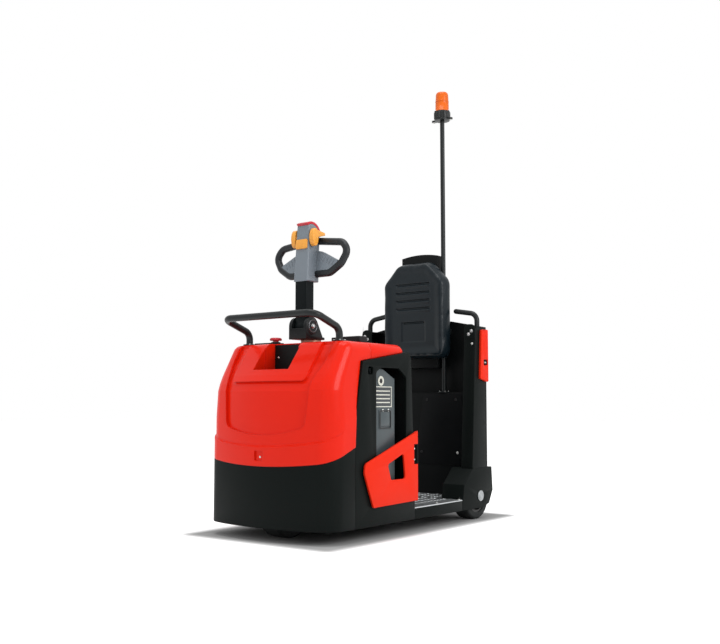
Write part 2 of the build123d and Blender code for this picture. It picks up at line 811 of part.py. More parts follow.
# ---- mast and beacon ---------------------------------------------------------------------------
mast_place = (mast_x, at(mast_setback))
mast_top = cabinet_top + mast_length
with BuildPart() as mast:
    with BuildSketch(Plane.XY.offset(cabinet_top)):
        with Locations(mast_place):
            Circle(mast_radius)
    extrude(amount=mast_length)
save(mast, "mast")

beacon_plate_thickness = 8
beacon_ear_reach = 43
beacon_ear_radius = 10
beacon_base_radius = 34
beacon_base_height = 34
beacon_post_radius = 6
dome_radius = 31
dome_top_radius = 27
dome_height = 88
dome_shoulder = 14
with BuildPart() as beacon_plate:
    with BuildSketch(Plane.XY.offset(mast_top)):
        with Locations(mast_place):
            Circle(beacon_base_radius)
            SlotCenterToCenter(2 * beacon_ear_reach, 2 * beacon_ear_radius)
    extrude(amount=beacon_plate_thickness)
save(beacon_plate, "beacon_plate")

with BuildPart() as beacon_base:
    with BuildSketch(Plane.XY.offset(mast_top + beacon_plate_thickness)):
        with Locations(mast_place):
            Circle(beacon_base_radius)
            with PolarLocations(beacon_base_radius - 2, 3):
                Circle(beacon_post_radius)
    extrude(amount=beacon_base_height)
save(beacon_base, "beacon_base")

with BuildPart() as beacon_dome:
    with BuildSketch(Plane((mast_x, at(mast_setback), mast_top + beacon_plate_thickness + beacon_base_height),
                           x_dir=(1, 0, 0), z_dir=(0, -1, 0))) as lens:
        with BuildLine():
            Polyline((0, 0), (dome_radius, 0), (dome_top_radius, dome_height), (0, dome_height), close=True)
        make_face()
        fillet(lens.vertices().sort_by(Axis.X)[-2], dome_shoulder)
    revolve(axis=Axis((mast_x, at(mast_setback), 0), (0, 0, 1)))
save(beacon_dome, "beacon_dome")

# ---- guard bar ---------------------------------------------------------------------------------
with BuildPart() as guard_bar:
    with BuildLine() as route:
        FilletPolyline(
            (-guard_half_width, at(guard_foot_setback), hood_top),
            (-guard_half_width, at(guard_foot_setback), guard_knee),
            (-guard_half_width, at(guard_front_setback), guard_height),
            (guard_half_width, at(guard_front_setback), guard_height),
            (guard_half_width, at(guard_foot_setback), guard_knee),
            (guard_half_width, at(guard_foot_setback), hood_top),
            radius=36,
        )
    with BuildSketch(Plane(route.line @ 0, z_dir=route.line % 0)):
        Circle(guard_radius)
    sweep()
save(guard_bar, "guard_bar")

# ---- controls on the dash ----------------------------------------------------------------------
stop_x = stop_base_x + 34
with BuildPart() as stop_button_base:
    with BuildSketch(Plane.XY.offset(hood_top)):
        with Locations((stop_base_x, at(stop_setback))):
            RectangleRounded(108, 56, 6)
    extrude(amount=stop_base_thickness)
save(stop_button_base, "stop_button_base")

with BuildPart() as stop_button:
    for radius, low, high in ((12, 0, 8), (23, 8, 20)):
        with BuildSketch(Plane.XY.offset(hood_top + stop_base_thickness + low)):
            with Locations((stop_x, at(stop_setback))):
                Circle(radius)
        extrude(amount=high - low)
save(stop_button, "stop_button")

with BuildPart() as dash_display:
    with BuildSketch(Plane.XY.offset(hood_top)):
        with Locations((display_x, at(display_setback))):
            RectangleRounded(136, 50, 5)
    extrude(amount=24)
save(dash_display, "dash_display")

# ---- drive unit --------------------------------------------------------------------------------
leg_inner = drive_tyre_width / 2 + move_gap
leg_thickness = 40
leg_half_width = 45
slew_play = 2
flange_radius = 85
flange_thickness = 24
hub_shaft_radius = 15
flange_top = mount_height - mount_thickness - slew_play
with BuildPart() as drive_gearbox:
    with BuildSketch(Plane.XY.offset(flange_top)):
        with Locations((0, at(drive_axis_setback))):
            Circle(flange_radius)
    extrude(amount=-flange_thickness)
    with BuildSketch(Plane.XY.offset(flange_top)):
        with Locations((0, at(drive_axis_setback))):
            Circle(slew_radius)
    extrude(amount=mount_thickness + 3 * slew_play)
    with BuildSketch(Plane.YZ.offset(-leg_inner)):
        with Locations((at(drive_axis_setback), (flange_top + drive_wheel_radius) / 2)):
            Rectangle(2 * leg_half_width, flange_top - drive_wheel_radius)
        with Locations((at(drive_axis_setback), drive_wheel_radius)):
            Circle(leg_half_width)
    extrude(amount=-leg_thickness)
    with BuildSketch(Plane.YZ.offset(-leg_inner)):
        with Locations((at(drive_axis_setback), drive_wheel_radius)):
            Circle(hub_shaft_radius)
    extrude(amount=leg_inner + 30)
save(drive_gearbox, "drive_gearbox")

motor_radius = 68
motor_length = 170
with BuildPart() as drive_motor:
    with BuildSketch(Plane.XY.offset(mount_height + 2 * slew_play)):
        with Locations((0, at(drive_axis_setback))):
            Circle(motor_radius)
    extrude(amount=motor_length)
save(drive_motor, "drive_motor")

drive_rim_radius = 80
drive_plane = Plane((0, at(drive_axis_setback), drive_wheel_radius))
drive_axle = Axis(drive_plane.origin, (1, 0, 0))
with BuildPart() as drive_tyre:
    with BuildSketch(drive_plane) as tread:
        add(wheel_ring(drive_wheel_radius, drive_rim_radius, drive_tyre_width / 2))
        fillet(tread.vertices().group_by(Axis.Y)[-1], 9)
    revolve(axis=drive_axle)
save(drive_tyre, "drive_tyre")

with BuildPart() as drive_hub:
    with BuildSketch(drive_plane):
        add(wheel_ring(drive_rim_radius, hub_shaft_radius + fit_gap, drive_tyre_width / 2 - rim_inset))
    revolve(axis=drive_axle)
save(drive_hub, "drive_hub")

# ---- tiller base -------------------------------------------------------------------------------
spigot_radius = 20
bridge_length = 60
pin_radius = 8
cheek_inner = 30
knuckle_half_width = cheek_inner - 4
knuckle_radius = 22
flange_step = 10
cheek_foot = (63, hub_foot + flange_step - pivot_height)             # from the pivot
with BuildPart() as tiller_mount:
    with BuildSketch(Plane.XY.offset(bridge_height)):
        with Locations((0, at(steer_axis_setback))):
            Rectangle(2 * frame_inner, bridge_length)
            Circle(spigot_radius + fit_gap, mode=Mode.SUBTRACT)
    extrude(amount=-bridge_thickness)
save(tiller_mount, "tiller_mount")

tangent_angle = atan2(cheek_foot[1], cheek_foot[0]) + acos(hub_radius / hypot(*cheek_foot))
hub_front = pivot_setback - hub_radius
hub_rear = pivot_setback + 74
with BuildPart() as tiller_hub:
    for radius, low, high in (
        (spigot_radius, bridge_height - bridge_thickness, bridge_height + 6), (neck_radius, bridge_height + 2, hub_foot),
    ):
        with BuildSketch(Plane.XY.offset(low)):
            with Locations((0, at(steer_axis_setback))):
                Circle(radius)
        extrude(amount=high - low)
    with BuildSketch(Plane.XY.offset(hub_foot)):
        with Locations((0, at((hub_front + hub_rear) / 2))):
            Rectangle(2 * hub_half_width, hub_rear - hub_front)
    extrude(amount=flange_step)
    for side in (-1, 1):
        with BuildSketch(Plane.YZ.offset(side * cheek_inner)):
            with Locations((at(pivot_setback), pivot_height)):
                Circle(hub_radius)
            add(side_outline([
                (hub_front, hub_foot + 1), (hub_front, pivot_height),
                (pivot_setback + hub_radius * cos(tangent_angle), pivot_height + hub_radius * sin(tangent_angle)),
                (pivot_setback + cheek_foot[0], pivot_height + cheek_foot[1]),
                (pivot_setback + cheek_foot[0], hub_foot + 1),
            ]))
        extrude(amount=side * (hub_half_width - cheek_inner))
        with BuildSketch(Plane.YZ.offset(side * hub_half_width)):
            with Locations((at(pivot_setback), pivot_height)):
                Circle(hub_radius - plate_thin)
        extrude(amount=side * 3)
    with Locations((0, at(hub_front + plate_thin / 2), hub_foot + flange_step + 15)):
        Box(2 * cheek_inner, plate_thin, 32)
    with BuildSketch(Plane.YZ.offset(-cheek_inner)):
        with Locations((at(pivot_setback), pivot_height)):
            Circle(pin_radius)
    extrude(amount=2 * cheek_inner)
save(tiller_hub, "tiller_hub")

# ---- tiller column -----------------------------------------------------------------------------
column_setback = pivot_setback + 4
with BuildPart() as tiller_column:
    with BuildSketch(Plane.YZ):
        with Locations((at(pivot_setback), pivot_height)):
            Circle(knuckle_radius)
        with Locations((at(pivot_setback), (pivot_height + knuckle_top) / 2)):
            Rectangle(36, knuckle_top - pivot_height)
        with Locations((at(pivot_setback), pivot_height)):
            Circle(pin_radius + fit_gap, mode=Mode.SUBTRACT)
    extrude(amount=knuckle_half_width, both=True)
    with BuildSketch(Plane.XY.offset(knuckle_top)):
        with Locations((0, at(column_setback))):
            RectangleRounded(2 * column_half_width, column_depth, 8)
    extrude(amount=column_length)
save(tiller_column, "tiller_column")


# ---- tiller head: leaning grip housing, hand loop and wings ------------------------------------
loop_tilt = atan(loop_lean / loop_height)
loop_plane = Plane((0, at(loop_setback), loop_low), x_dir=(1, 0, 0), z_dir=(0, -cos(loop_tilt), sin(loop_tilt)))
loop_rise = hypot(loop_height, loop_lean)
loop_root_x = 20
loop_route = [                                                       # outline from the low root to the high one
    (loop_root_x, 0), (100, 0), (150, 32), (178, 80), (150, loop_rise - 16), (loop_root_x, loop_rise),
]
loop_bend = 34


def loop_tube(radius):
    """One side of the hand loop as a tube of a given radius."""
    with BuildPart() as tube:
        with BuildLine(loop_plane) as path:
            FilletPolyline(*loop_route, radius=loop_bend)
        with BuildSketch(Plane(path.line @ 0, z_dir=path.line % 0)):
            Circle(radius)
        sweep()
    return tube.part


head_front, head_rear = 221, 290
head_half_width = 35
head_top_half_width = 30
crown_start = radians(123)
crown_front = (crown_setback + crown_radius * cos(crown_start), crown_height + crown_radius * sin(crown_start))
with BuildPart() as head_body:
    with BuildSketch(Plane.YZ):
        with BuildLine():
            arc = ThreePointArc(
                (at(crown_front[0]), crown_front[1]),
                (at(crown_setback + crown_radius * cos(radians(60))), crown_height + crown_radius * sin(radians(60))),
                (at(crown_setback + crown_radius), crown_height),
            )
            Polyline(arc @ 1, (at(head_rear), head_bottom), (at(head_front), head_bottom), arc @ 0)
        make_face()
    extrude(amount=head_half_width, both=True)
    with BuildSketch(Plane.XZ.offset(-at(0))):
        with BuildLine():
            Polyline(
                (-head_half_width, head_bottom), (-head_top_half_width, crown_height + crown_radius + 1),
                (head_top_half_width, crown_height + crown_radius + 1), (head_half_width, head_bottom), close=True,
            )
        make_face()
    extrude(amount=-dash_rear, mode=Mode.INTERSECT)
    fillet(head_body.faces().sort_by(Axis.X)[0].edges(), 6)
    fillet(head_body.faces().sort_by(Axis.X)[-1].edges(), 6)

wing_outline = [(loop_root_x, 0), (100, 0), (140, 24), (138, 44), (60, 84), (loop_root_x, 92)]
wing_thickness = 20
with BuildPart() as wings:
    with BuildSketch(loop_plane):
        for side in (-1, 1):
            with BuildLine():
                Polyline([(side * reach, rise) for reach, rise in wing_outline], close=True)
            make_face()
    extrude(amount=wing_thickness / 2, both=True)
    add(loop_tube(loop_tube_radius + seat_gap), mode=Mode.SUBTRACT)
    add(mirror(loop_tube(loop_tube_radius + seat_gap), about=Plane.YZ), mode=Mode.SUBTRACT)

with BuildPart() as tiller_head:
    add(head_body.part)
    add(wings.part)
save(tiller_head, "tiller_head")

with BuildPart() as tiller_loop:
    add(loop_tube(loop_tube_radius))
    mirror(about=Plane.YZ)
    add(head_body.part, mode=Mode.SUBTRACT)
save(tiller_loop, "tiller_loop")

# ---- controls on the tiller head ---------------------------------------------------------------
throttle_place = (at(246), crown_height - 12)
throttle_inner = 36
throttle_thickness = 20
with BuildPart() as tiller_throttles:
    with BuildSketch(Plane.YZ.offset(throttle_inner)):
        with Locations(throttle_place):
            Ellipse(17, 34)
        add(side_outline([
            (250, crown_height + 18), (302, crown_height + 10), (302, crown_height), (256, crown_height - 12),
        ]))
    extrude(amount=throttle_thickness)
    with BuildSketch(Plane.YZ.offset(throttle_inner)):
        with Locations(throttle_place):
            Circle(9)
    extrude(amount=head_top_half_width - throttle_inner)
    add(head_body.part, mode=Mode.SUBTRACT)
    mirror(about=Plane.YZ)
save(tiller_throttles, "tiller_throttles")

belly_thickness = 10
with BuildPart() as tiller_belly_button:
    with BuildSketch(Plane.YZ):
        with Locations((at(crown_setback), crown_height)):
            Circle(crown_radius + belly_thickness)
            Circle(crown_radius, mode=Mode.SUBTRACT)
        add(side_outline([
            (crown_setback, crown_height), (crown_setback - 60, crown_height + 90), (crown_setback - 60, 0),
            (crown_setback + 60, 0), (crown_setback + 60, crown_height),
        ]), mode=Mode.SUBTRACT)
    extrude(amount=head_top_half_width - 2, both=True)
save(tiller_belly_button, "tiller_belly_button")

horn_low, horn_high = head_bottom + 124, head_bottom + 162
head_run = (crown_front[0] - head_front) / (crown_front[1] - head_bottom)
with BuildPart() as tiller_horn:
    with BuildSketch(Plane.YZ):
        add(side_outline([
            (head_front + head_run * (horn_low - head_bottom), horn_low),
            (head_front + head_run * (horn_high - head_bottom), horn_high),
            (head_front + head_run * (horn_high - head_bottom) - 5, horn_high - 2),
            (head_front + head_run * (horn_low - head_bottom) - 5, horn_low + 2),
        ]))
    extrude(amount=head_top_half_width - 2, both=True)
save(tiller_horn, "tiller_horn")

# ---- tow coupling ------------------------------------------------------------------------------
coupling_low = 150
ear_count = 4
ear_pitch = 68
ear_thickness = 14
ear_half_width = 45
ear_front = wall_setback + wall_thickness
coupling_bore_radius = 10.5
with BuildPart() as tow_coupling:
    with BuildSketch(Plane.XZ.offset(-at(ear_front))):
        with Locations((0, coupling_low + (ear_count - 1) * ear_pitch / 2 + ear_thickness / 2)):
            RectangleRounded(140, (ear_count - 1) * ear_pitch + 60, 10)
    extrude(amount=-10)
    for step in range(ear_count):
        with BuildSketch(Plane.XY.offset(coupling_low + step * ear_pitch)):
            with Locations((0, at(ear_front + coupling_reach / 2))):
                Rectangle(2 * ear_half_width, coupling_reach)
            with Locations((0, at(coupling_bore_setback))):
                Circle(eye_radius)
                Circle(coupling_bore_radius, mode=Mode.SUBTRACT)
        extrude(amount=ear_thickness)
save(tow_coupling, "tow_coupling")
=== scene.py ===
import json
import math

import bpy
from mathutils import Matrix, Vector


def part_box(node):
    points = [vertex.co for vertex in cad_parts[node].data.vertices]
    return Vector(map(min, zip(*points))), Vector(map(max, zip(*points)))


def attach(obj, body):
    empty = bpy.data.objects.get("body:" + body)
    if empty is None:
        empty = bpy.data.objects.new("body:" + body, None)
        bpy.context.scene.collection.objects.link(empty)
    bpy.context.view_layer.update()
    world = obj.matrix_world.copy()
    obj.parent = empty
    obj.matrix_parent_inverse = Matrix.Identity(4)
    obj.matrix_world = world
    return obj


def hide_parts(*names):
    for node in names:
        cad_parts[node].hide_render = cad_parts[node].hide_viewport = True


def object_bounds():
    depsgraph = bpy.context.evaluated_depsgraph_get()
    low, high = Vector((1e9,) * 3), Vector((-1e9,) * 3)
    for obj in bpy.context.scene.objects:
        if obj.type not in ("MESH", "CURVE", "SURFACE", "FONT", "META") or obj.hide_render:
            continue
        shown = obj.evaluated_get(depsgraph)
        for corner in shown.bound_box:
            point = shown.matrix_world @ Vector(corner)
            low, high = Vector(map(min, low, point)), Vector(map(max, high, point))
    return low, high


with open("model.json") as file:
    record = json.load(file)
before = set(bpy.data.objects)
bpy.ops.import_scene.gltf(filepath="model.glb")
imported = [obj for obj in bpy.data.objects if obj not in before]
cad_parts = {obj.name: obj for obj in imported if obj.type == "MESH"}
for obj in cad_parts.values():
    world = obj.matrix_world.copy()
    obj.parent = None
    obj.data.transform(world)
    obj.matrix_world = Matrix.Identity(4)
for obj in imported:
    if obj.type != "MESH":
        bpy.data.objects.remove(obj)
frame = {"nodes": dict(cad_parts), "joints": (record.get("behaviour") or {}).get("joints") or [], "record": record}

cad_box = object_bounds()
cad = frame["nodes"]
bpy.ops.object.select_all(action="DESELECT")

# ---- Floor, light and camera -------------
# A white studio floor under a white sky. Close round the tug the floor's colour is painted darker
# and its glow held back: a painted contact shadow. A broad lamp hangs above, a stronger one stands
# on the tug's left and a weak one, not seen in gloss, in front. The camera stands low, off the front
# left corner.
floor_size = 40.0
floor_white = 0.82
shadow_shade = 0.5
shadow_reach = 0.085
floor_glow = 0.60
sky_on_object = 0.62
camera_place = (2.306, -3.037, 0.486)
camera_pitch = 4.9435
camera_azimuth = 37.307
focal_length = 46.695
sensor_width = 36


def node(tree, kind, **values):
    """Add a shader node and set its inputs by name."""
    made = tree.nodes.new(kind)
    for key, value in values.items():
        made.inputs[key.replace("_", " ")].default_value = value
    return made


def joined_value(tree, operation, first, second):
    """Add a Math node between two sockets, or a socket and a number."""
    made = tree.nodes.new("ShaderNodeMath")
    made.operation = operation
    for slot_number, value in enumerate((first, second)):
        if isinstance(value, (int, float)):
            made.inputs[slot_number].default_value = value
        else:
            tree.links.new(value, made.inputs[slot_number])
    return made.outputs[0]


def vector_step(tree, operation, first, second=None):
    """Add a Vector Math node after a socket, with a fixed second vector if one is given."""
    made = tree.nodes.new("ShaderNodeVectorMath")
    made.operation = operation
    tree.links.new(first, made.inputs[0])
    if second:
        made.inputs[1].default_value = second
    return made


def seen_directly(tree):
    """1 for the rays that show a backdrop: from the camera, off gloss and through a lens."""
    path = node(tree, "ShaderNodeLightPath").outputs
    plain = joined_value(tree, "MAXIMUM", path["Is Camera Ray"], path["Is Glossy Ray"])
    return joined_value(tree, "MAXIMUM", plain, path["Is Transmission Ray"])


def floor_with_painted_shadow():
    """White floor with a painted shadow round the tug, brightening to the sky's white further out."""
    material = bpy.data.materials.new("studio_white_painted_shadow")
    material.use_nodes = True
    tree = material.node_tree
    tree.nodes.clear()
    out = node(tree, "ShaderNodeOutputMaterial")
    total = node(tree, "ShaderNodeAddShader")
    matt = tree.nodes.new("ShaderNodeBsdfDiffuse")
    glow = node(tree, "ShaderNodeEmission", Color=(1, 1, 1, 1))
    place = node(tree, "ShaderNodeTexCoord")
    apart = vector_step(tree, "ABSOLUTE", place.outputs["Object"])
    half = (cad_box[1][0], cad_box[1][1], 1)
    beyond = vector_step(tree, "SUBTRACT", apart.outputs[0], half)
    outside = vector_step(tree, "MAXIMUM", beyond.outputs[0], (0, 0, 0))
    distance = vector_step(tree, "LENGTH", outside.outputs[0])
    # The glow rises away from the tug and is held back close round it, as part of the painted shadow.
    rise = node(tree, "ShaderNodeMapRange")
    rise.interpolation_type = "SMOOTHSTEP"
    rise.inputs["From Max"].default_value = shadow_reach
    rise.inputs["To Max"].default_value = floor_glow
    tree.links.new(distance.outputs["Value"], rise.inputs["Value"])
    glow_level = joined_value(tree, "MULTIPLY", rise.outputs[0], seen_directly(tree))
    tree.links.new(glow_level, glow.inputs["Strength"])
    # Painted shadow: the floor's colour falls to shadow_shade of its white close round the tug.
    shade = node(tree, "ShaderNodeMapRange")
    shade.interpolation_type = "SMOOTHSTEP"
    shade.inputs["From Max"].default_value = shadow_reach
    shade.inputs["To Min"].default_value = shadow_shade * floor_white
    shade.inputs["To Max"].default_value = floor_white
    tree.links.new(distance.outputs["Value"], shade.inputs["Value"])
    tree.links.new(shade.outputs["Result"], matt.inputs["Color"])
    tree.links.new(matt.outputs[0], total.inputs[0])
    tree.links.new(glow.outputs[0], total.inputs[1])
    tree.links.new(total.outputs[0], out.inputs["Surface"])
    return material


bpy.ops.mesh.primitive_plane_add(size=floor_size)
floor = bpy.context.object
floor.name = "studio_floor"
floor.data.materials.append(floor_with_painted_shadow())

sky = bpy.data.worlds.new("studio_sky")
bpy.context.scene.world = sky
sky.use_nodes = True
sky_tree = sky.node_tree
sky_glow = sky_tree.nodes["Background"]
sky_glow.inputs["Color"].default_value = (1, 1, 1, 1)
sky_extra = joined_value(sky_tree, "MULTIPLY", seen_directly(sky_tree), 1 - sky_on_object)
sky_level = joined_value(sky_tree, "ADD", sky_extra, sky_on_object)
sky_tree.links.new(sky_level, sky_glow.inputs["Strength"])


def lamp(name, place, aim, size, power):
    """Square soft box that faces a point."""
    light = bpy.data.lights.new(name, "AREA")
    light.size = size
    light.energy = power
    thing = bpy.data.objects.new(name, light)
    thing.location = place
    thing.rotation_euler = (Vector(aim) - Vector(place)).to_track_quat("-Z", "Y").to_euler()
    bpy.context.scene.collection.objects.link(thing)
    return thing


lamp("soft_box_above", place=(0.3, -0.8, 4.4), aim=(0, -0.1, 0.5), size=2.6, power=70)
lamp("soft_box_left", place=(4.0, -0.3, 2.4), aim=(0, 0, 0.5), size=2.2, power=85)
fill = lamp("soft_box_front", place=(-1.9, -3.6, 1.9), aim=(0, -0.3, 0.5), size=1.8, power=26)
fill.visible_glossy = False

lens = bpy.data.cameras.new("camera")
lens.lens = focal_length
lens.sensor_width = sensor_width
camera = bpy.data.objects.new("camera", lens)
camera.location = camera_place
camera.rotation_euler = (math.radians(90 + camera_pitch), 0, math.radians(camera_azimuth))
bpy.context.scene.collection.objects.link(camera)
bpy.context.scene.camera = camera
bpy.context.scene.view_settings.view_transform = "Standard"

# ---- Plate work --------------------------
# Skirt, side frames, floor frame, housings, columns, rear wall and cabinet are laser-cut, bent and
# welded steel plate in fine-textured black powder coat, rubbed a little paler along their edges.
# The rear wall, cabinet, console back and backrest carrier take a darker copy of the coat: painted
# shade, for their place in the shadow inside the body.
carried_by = {
    name: body for body, names in frame["record"]["behaviour"]["bodies"].items() for name in names
}
slot_of = {row["node"]: row["material_slot"] for row in frame["record"]["subparts"]}
weld_gap = 0.000001
cloud_form = {"Scale": 6.5, "Detail": 6.0, "Roughness": 0.62}
cloud_thin, cloud_thick = 0.25, 0.75
gloss_least, gloss_most = 0.86, 1.16
rub_starts, rub_ends = 0.995, 0.85
rub_share, rub_pale = 0.5, 0.16
bevel_samples = 6
grain_kinds = {
    "fine": ("ShaderNodeTexNoise", {"Detail": 2.0, "Roughness": 0.5}),
    "peel": ("ShaderNodeTexNoise", {"Detail": 0.0, "Roughness": 0.3}),
    "cast": ("ShaderNodeTexNoise", {"Detail": 6.0, "Roughness": 0.7, "Distortion": 0.4}),
    "pebble": ("ShaderNodeTexVoronoi", {"Randomness": 1.0}),
}


def finish(name, colour, roughness, kind, per_metre, height, mottle=0.08, wear=0.0, edge=0.0012,
           stretch=(1, 1, 1), **fixed):
    """A coated, moulded or metal surface: relief, clouds in colour and gloss, and worn edges.

    per_metre is how many grains of the relief lie in a metre and height their height in metres.
    edge is how far the shader rounds a hard edge. stretch draws the relief and the clouds out for
    rolled or brushed metal. fixed are the shader's own numbers, by name.
    """
    material = bpy.data.materials.new(name)
    material.use_nodes = True
    tree = material.node_tree
    link = tree.links.new
    shader = tree.nodes["Principled BSDF"]
    for key, value in fixed.items():
        shader.inputs[key.replace("_", " ")].default_value = value
    place = node(tree, "ShaderNodeTexCoord")
    drawn = node(tree, "ShaderNodeMapping", Scale=stretch)
    link(place.outputs["Object"], drawn.inputs["Vector"])
    cloud = node(tree, "ShaderNodeTexNoise", **cloud_form)
    link(drawn.outputs[0], cloud.inputs["Vector"])
    tint = tree.nodes.new("ShaderNodeMix")
    tint.data_type = "RGBA"
    tint.inputs["A"].default_value = (*[c * (1 - mottle) for c in colour], 1)
    tint.inputs["B"].default_value = (*[min(1, c * (1 + mottle)) for c in colour], 1)
    link(cloud.outputs["Fac"], tint.inputs["Factor"])
    corner = tree.nodes.new("ShaderNodeBevel")
    corner.samples = bevel_samples
    corner.inputs["Radius"].default_value = edge
    face = node(tree, "ShaderNodeNewGeometry")
    bend = vector_step(tree, "DOT_PRODUCT", corner.outputs["Normal"])
    link(face.outputs["True Normal"], bend.inputs[1])
    rub = node(tree, "ShaderNodeMapRange")
    rub.inputs["From Min"].default_value = rub_starts
    rub.inputs["From Max"].default_value = rub_ends
    rub.inputs["To Max"].default_value = wear
    link(bend.outputs["Value"], rub.inputs["Value"])
    worn = tree.nodes.new("ShaderNodeMix")
    worn.data_type = "RGBA"
    worn.inputs["B"].default_value = (*[rub_share * c + rub_pale for c in colour], 1)
    rubbed = joined_value(tree, "MULTIPLY", rub.outputs[0], cloud.outputs["Fac"])
    link(rubbed, worn.inputs["Factor"])
    link(tint.outputs["Result"], worn.inputs["A"])
    link(worn.outputs["Result"], shader.inputs["Base Color"])
    gloss = node(tree, "ShaderNodeMapRange")
    gloss.inputs["From Min"].default_value = cloud_thin
    gloss.inputs["From Max"].default_value = cloud_thick
    gloss.inputs["To Min"].default_value = roughness * gloss_least
    gloss.inputs["To Max"].default_value = min(1, roughness * gloss_most)
    link(cloud.outputs["Fac"], gloss.inputs["Value"])
    link(gloss.outputs["Result"], shader.inputs["Roughness"])
    texture, settings = grain_kinds[kind]
    relief = node(tree, texture, Scale=per_metre, **settings)
    link(drawn.outputs[0], relief.inputs["Vector"])
    bump = node(tree, "ShaderNodeBump", Strength=1.0, Distance=height)
    link(relief.outputs["Distance" if kind == "pebble" else "Fac"], bump.inputs["Height"])
    link(corner.outputs["Normal"], bump.inputs["Normal"])
    link(bump.outputs["Normal"], shader.inputs["Normal"])
    return material


def coat_nodes(material, *names):
    """Give CAD pieces this finish in place of their flat one."""
    for name in names:
        cad[name].data.materials.clear()
        cad[name].data.materials.append(material)


def select_only(thing):
    """Make one object the only selected one and the active one."""
    bpy.ops.object.select_all(action="DESELECT")
    thing.select_set(True)
    bpy.context.view_layer.objects.active = thing


def freeze():
    """Apply the selected pieces' place, turn and scale to their meshes."""
    bpy.ops.object.transform_apply(location=True, rotation=True, scale=True)


def apply_all(thing):
    """Apply every modifier on a piece."""
    select_only(thing)
    for modifier in list(thing.modifiers):
        bpy.ops.object.modifier_apply(modifier=modifier.name)


def rounded(thing, width, segments=2, angle=30, clamp=True):
    """Round a piece's edges with a bevel, apply it and shade the piece smooth up to that angle."""
    rounding = thing.modifiers.new("rounding", "BEVEL")
    rounding.width = width
    rounding.segments = segments
    rounding.limit_method = "ANGLE"
    rounding.angle_limit = math.radians(angle)
    rounding.use_clamp_overlap = clamp
    apply_all(thing)
    bpy.ops.object.shade_smooth_by_angle(angle=math.radians(angle))


def settle(piece, name, slot, *materials, body="chassis"):
    """Name a finished piece and give it its place at the origin, its finish and body. slot is not used."""
    select_only(piece)
    freeze()
    piece.name = name
    for material in materials:
        piece.data.materials.append(material)
    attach(piece, body)


def eased(name, radius, material, angle=28):
    """Copy a CAD piece, merge it and round its edges; the copy then stands for the node."""
    select_only(cad[name])
    bpy.ops.object.duplicate()
    piece = bpy.context.object
    for key in list(piece.keys()):
        del piece[key]
    piece.data.materials.clear()
    bpy.ops.object.mode_set(mode="EDIT")
    bpy.ops.mesh.select_all(action="SELECT")
    bpy.ops.mesh.remove_doubles(threshold=weld_gap)
    bpy.ops.mesh.dissolve_limited(angle_limit=math.radians(1))
    bpy.ops.object.mode_set(mode="OBJECT")
    rounded(piece, radius, segments=3, angle=angle, clamp=False)
    settle(piece, f"{name}_eased", slot_of[name], material, body=carried_by[name])
    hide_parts(name)


black_coat = finish(
    "black_powder_coat", (0.0055, 0.0075, 0.0070), 0.42, "fine", 950, 0.00011, wear=0.12,
    Specular_IOR_Level=0.05,
)
# A darker copy of the black coat: painted shade for the rear wall, cabinet, console back and carrier.
shaded_black_coat = finish(
    "black_powder_coat_painted_shade", (0.0040, 0.0048, 0.0050), 0.46, "fine", 950, 0.00011, wear=0.15,
    Specular_IOR_Level=0.10,
)
for plate, radius, coat in (
    ("front_skirt", 0.0025, black_coat), ("side_frames", 0.0015, black_coat),
    ("floor_frame", 0.0012, black_coat), ("wheel_housings", 0.0012, black_coat),
    ("rear_columns", 0.0015, black_coat), ("tow_coupling", 0.002, black_coat),
    ("gate_hinges", 0.0006, black_coat), ("tiller_mount", 0.001, black_coat),
    ("drive_mount", 0.001, black_coat), ("console_back", 0.001, shaded_black_coat),
    ("rear_wall", 0.0015, shaded_black_coat), ("rear_cabinet", 0.001, shaded_black_coat),
    ("backrest_carrier", 0.0015, shaded_black_coat),
):
    eased(plate, radius, coat)

# ---- Bolts and screws --------------------
# Two fasteners made once at a radius of 1 and set out wherever they are needed: a hexagon bolt on a
# washer and a button-head screw with a deep socket, of steel in zinc, chrome or black oxide.
up = (0, 0, 1)
facing_limit = 0.9


def disc(sides, radius, depth, place=(0, 0, 0), turn=(0, 0, 0)):
    """Round bar or disc of a size at a place, as the start of a piece."""
    bpy.ops.mesh.primitive_cylinder_add(
        vertices=sides, radius=radius, depth=depth, location=place, rotation=turn,
    )
    freeze()
    return bpy.context.object


def pick_faces(thing, facing):
    """Select, in edit mode, only the faces that face one way."""
    bpy.ops.mesh.select_all(action="DESELECT")
    bpy.ops.object.mode_set(mode="OBJECT")
    for face in thing.data.polygons:
        face.select = face.normal.dot(Vector(facing)) > facing_limit
    bpy.ops.object.mode_set(mode="EDIT")


def open_faces(thing, facing):
    """Open a piece in edit mode with the faces picked that face one way."""
    select_only(thing)
    bpy.ops.object.mode_set(mode="EDIT")
    bpy.ops.mesh.select_mode(type="FACE")
    pick_faces(thing, facing)


def inset(*steps):
    """Inset the picked faces step by step, each step a (thickness, depth)."""
    for thickness, depth in steps:
        bpy.ops.mesh.inset(thickness=thickness, depth=depth)


def end_edit(thing, angle=35):
    """Close edit mode and shade the piece smooth, apart from edges sharper than an angle."""
    bpy.ops.object.mode_set(mode="OBJECT")
    select_only(thing)
    bpy.ops.object.shade_smooth_by_angle(angle=math.radians(angle))


def joined(pieces):
    """Join pieces into the first of them."""
    select_only(pieces[0])
    for piece in pieces[1:]:
        piece.select_set(True)
    bpy.ops.object.join()
    return bpy.context.object


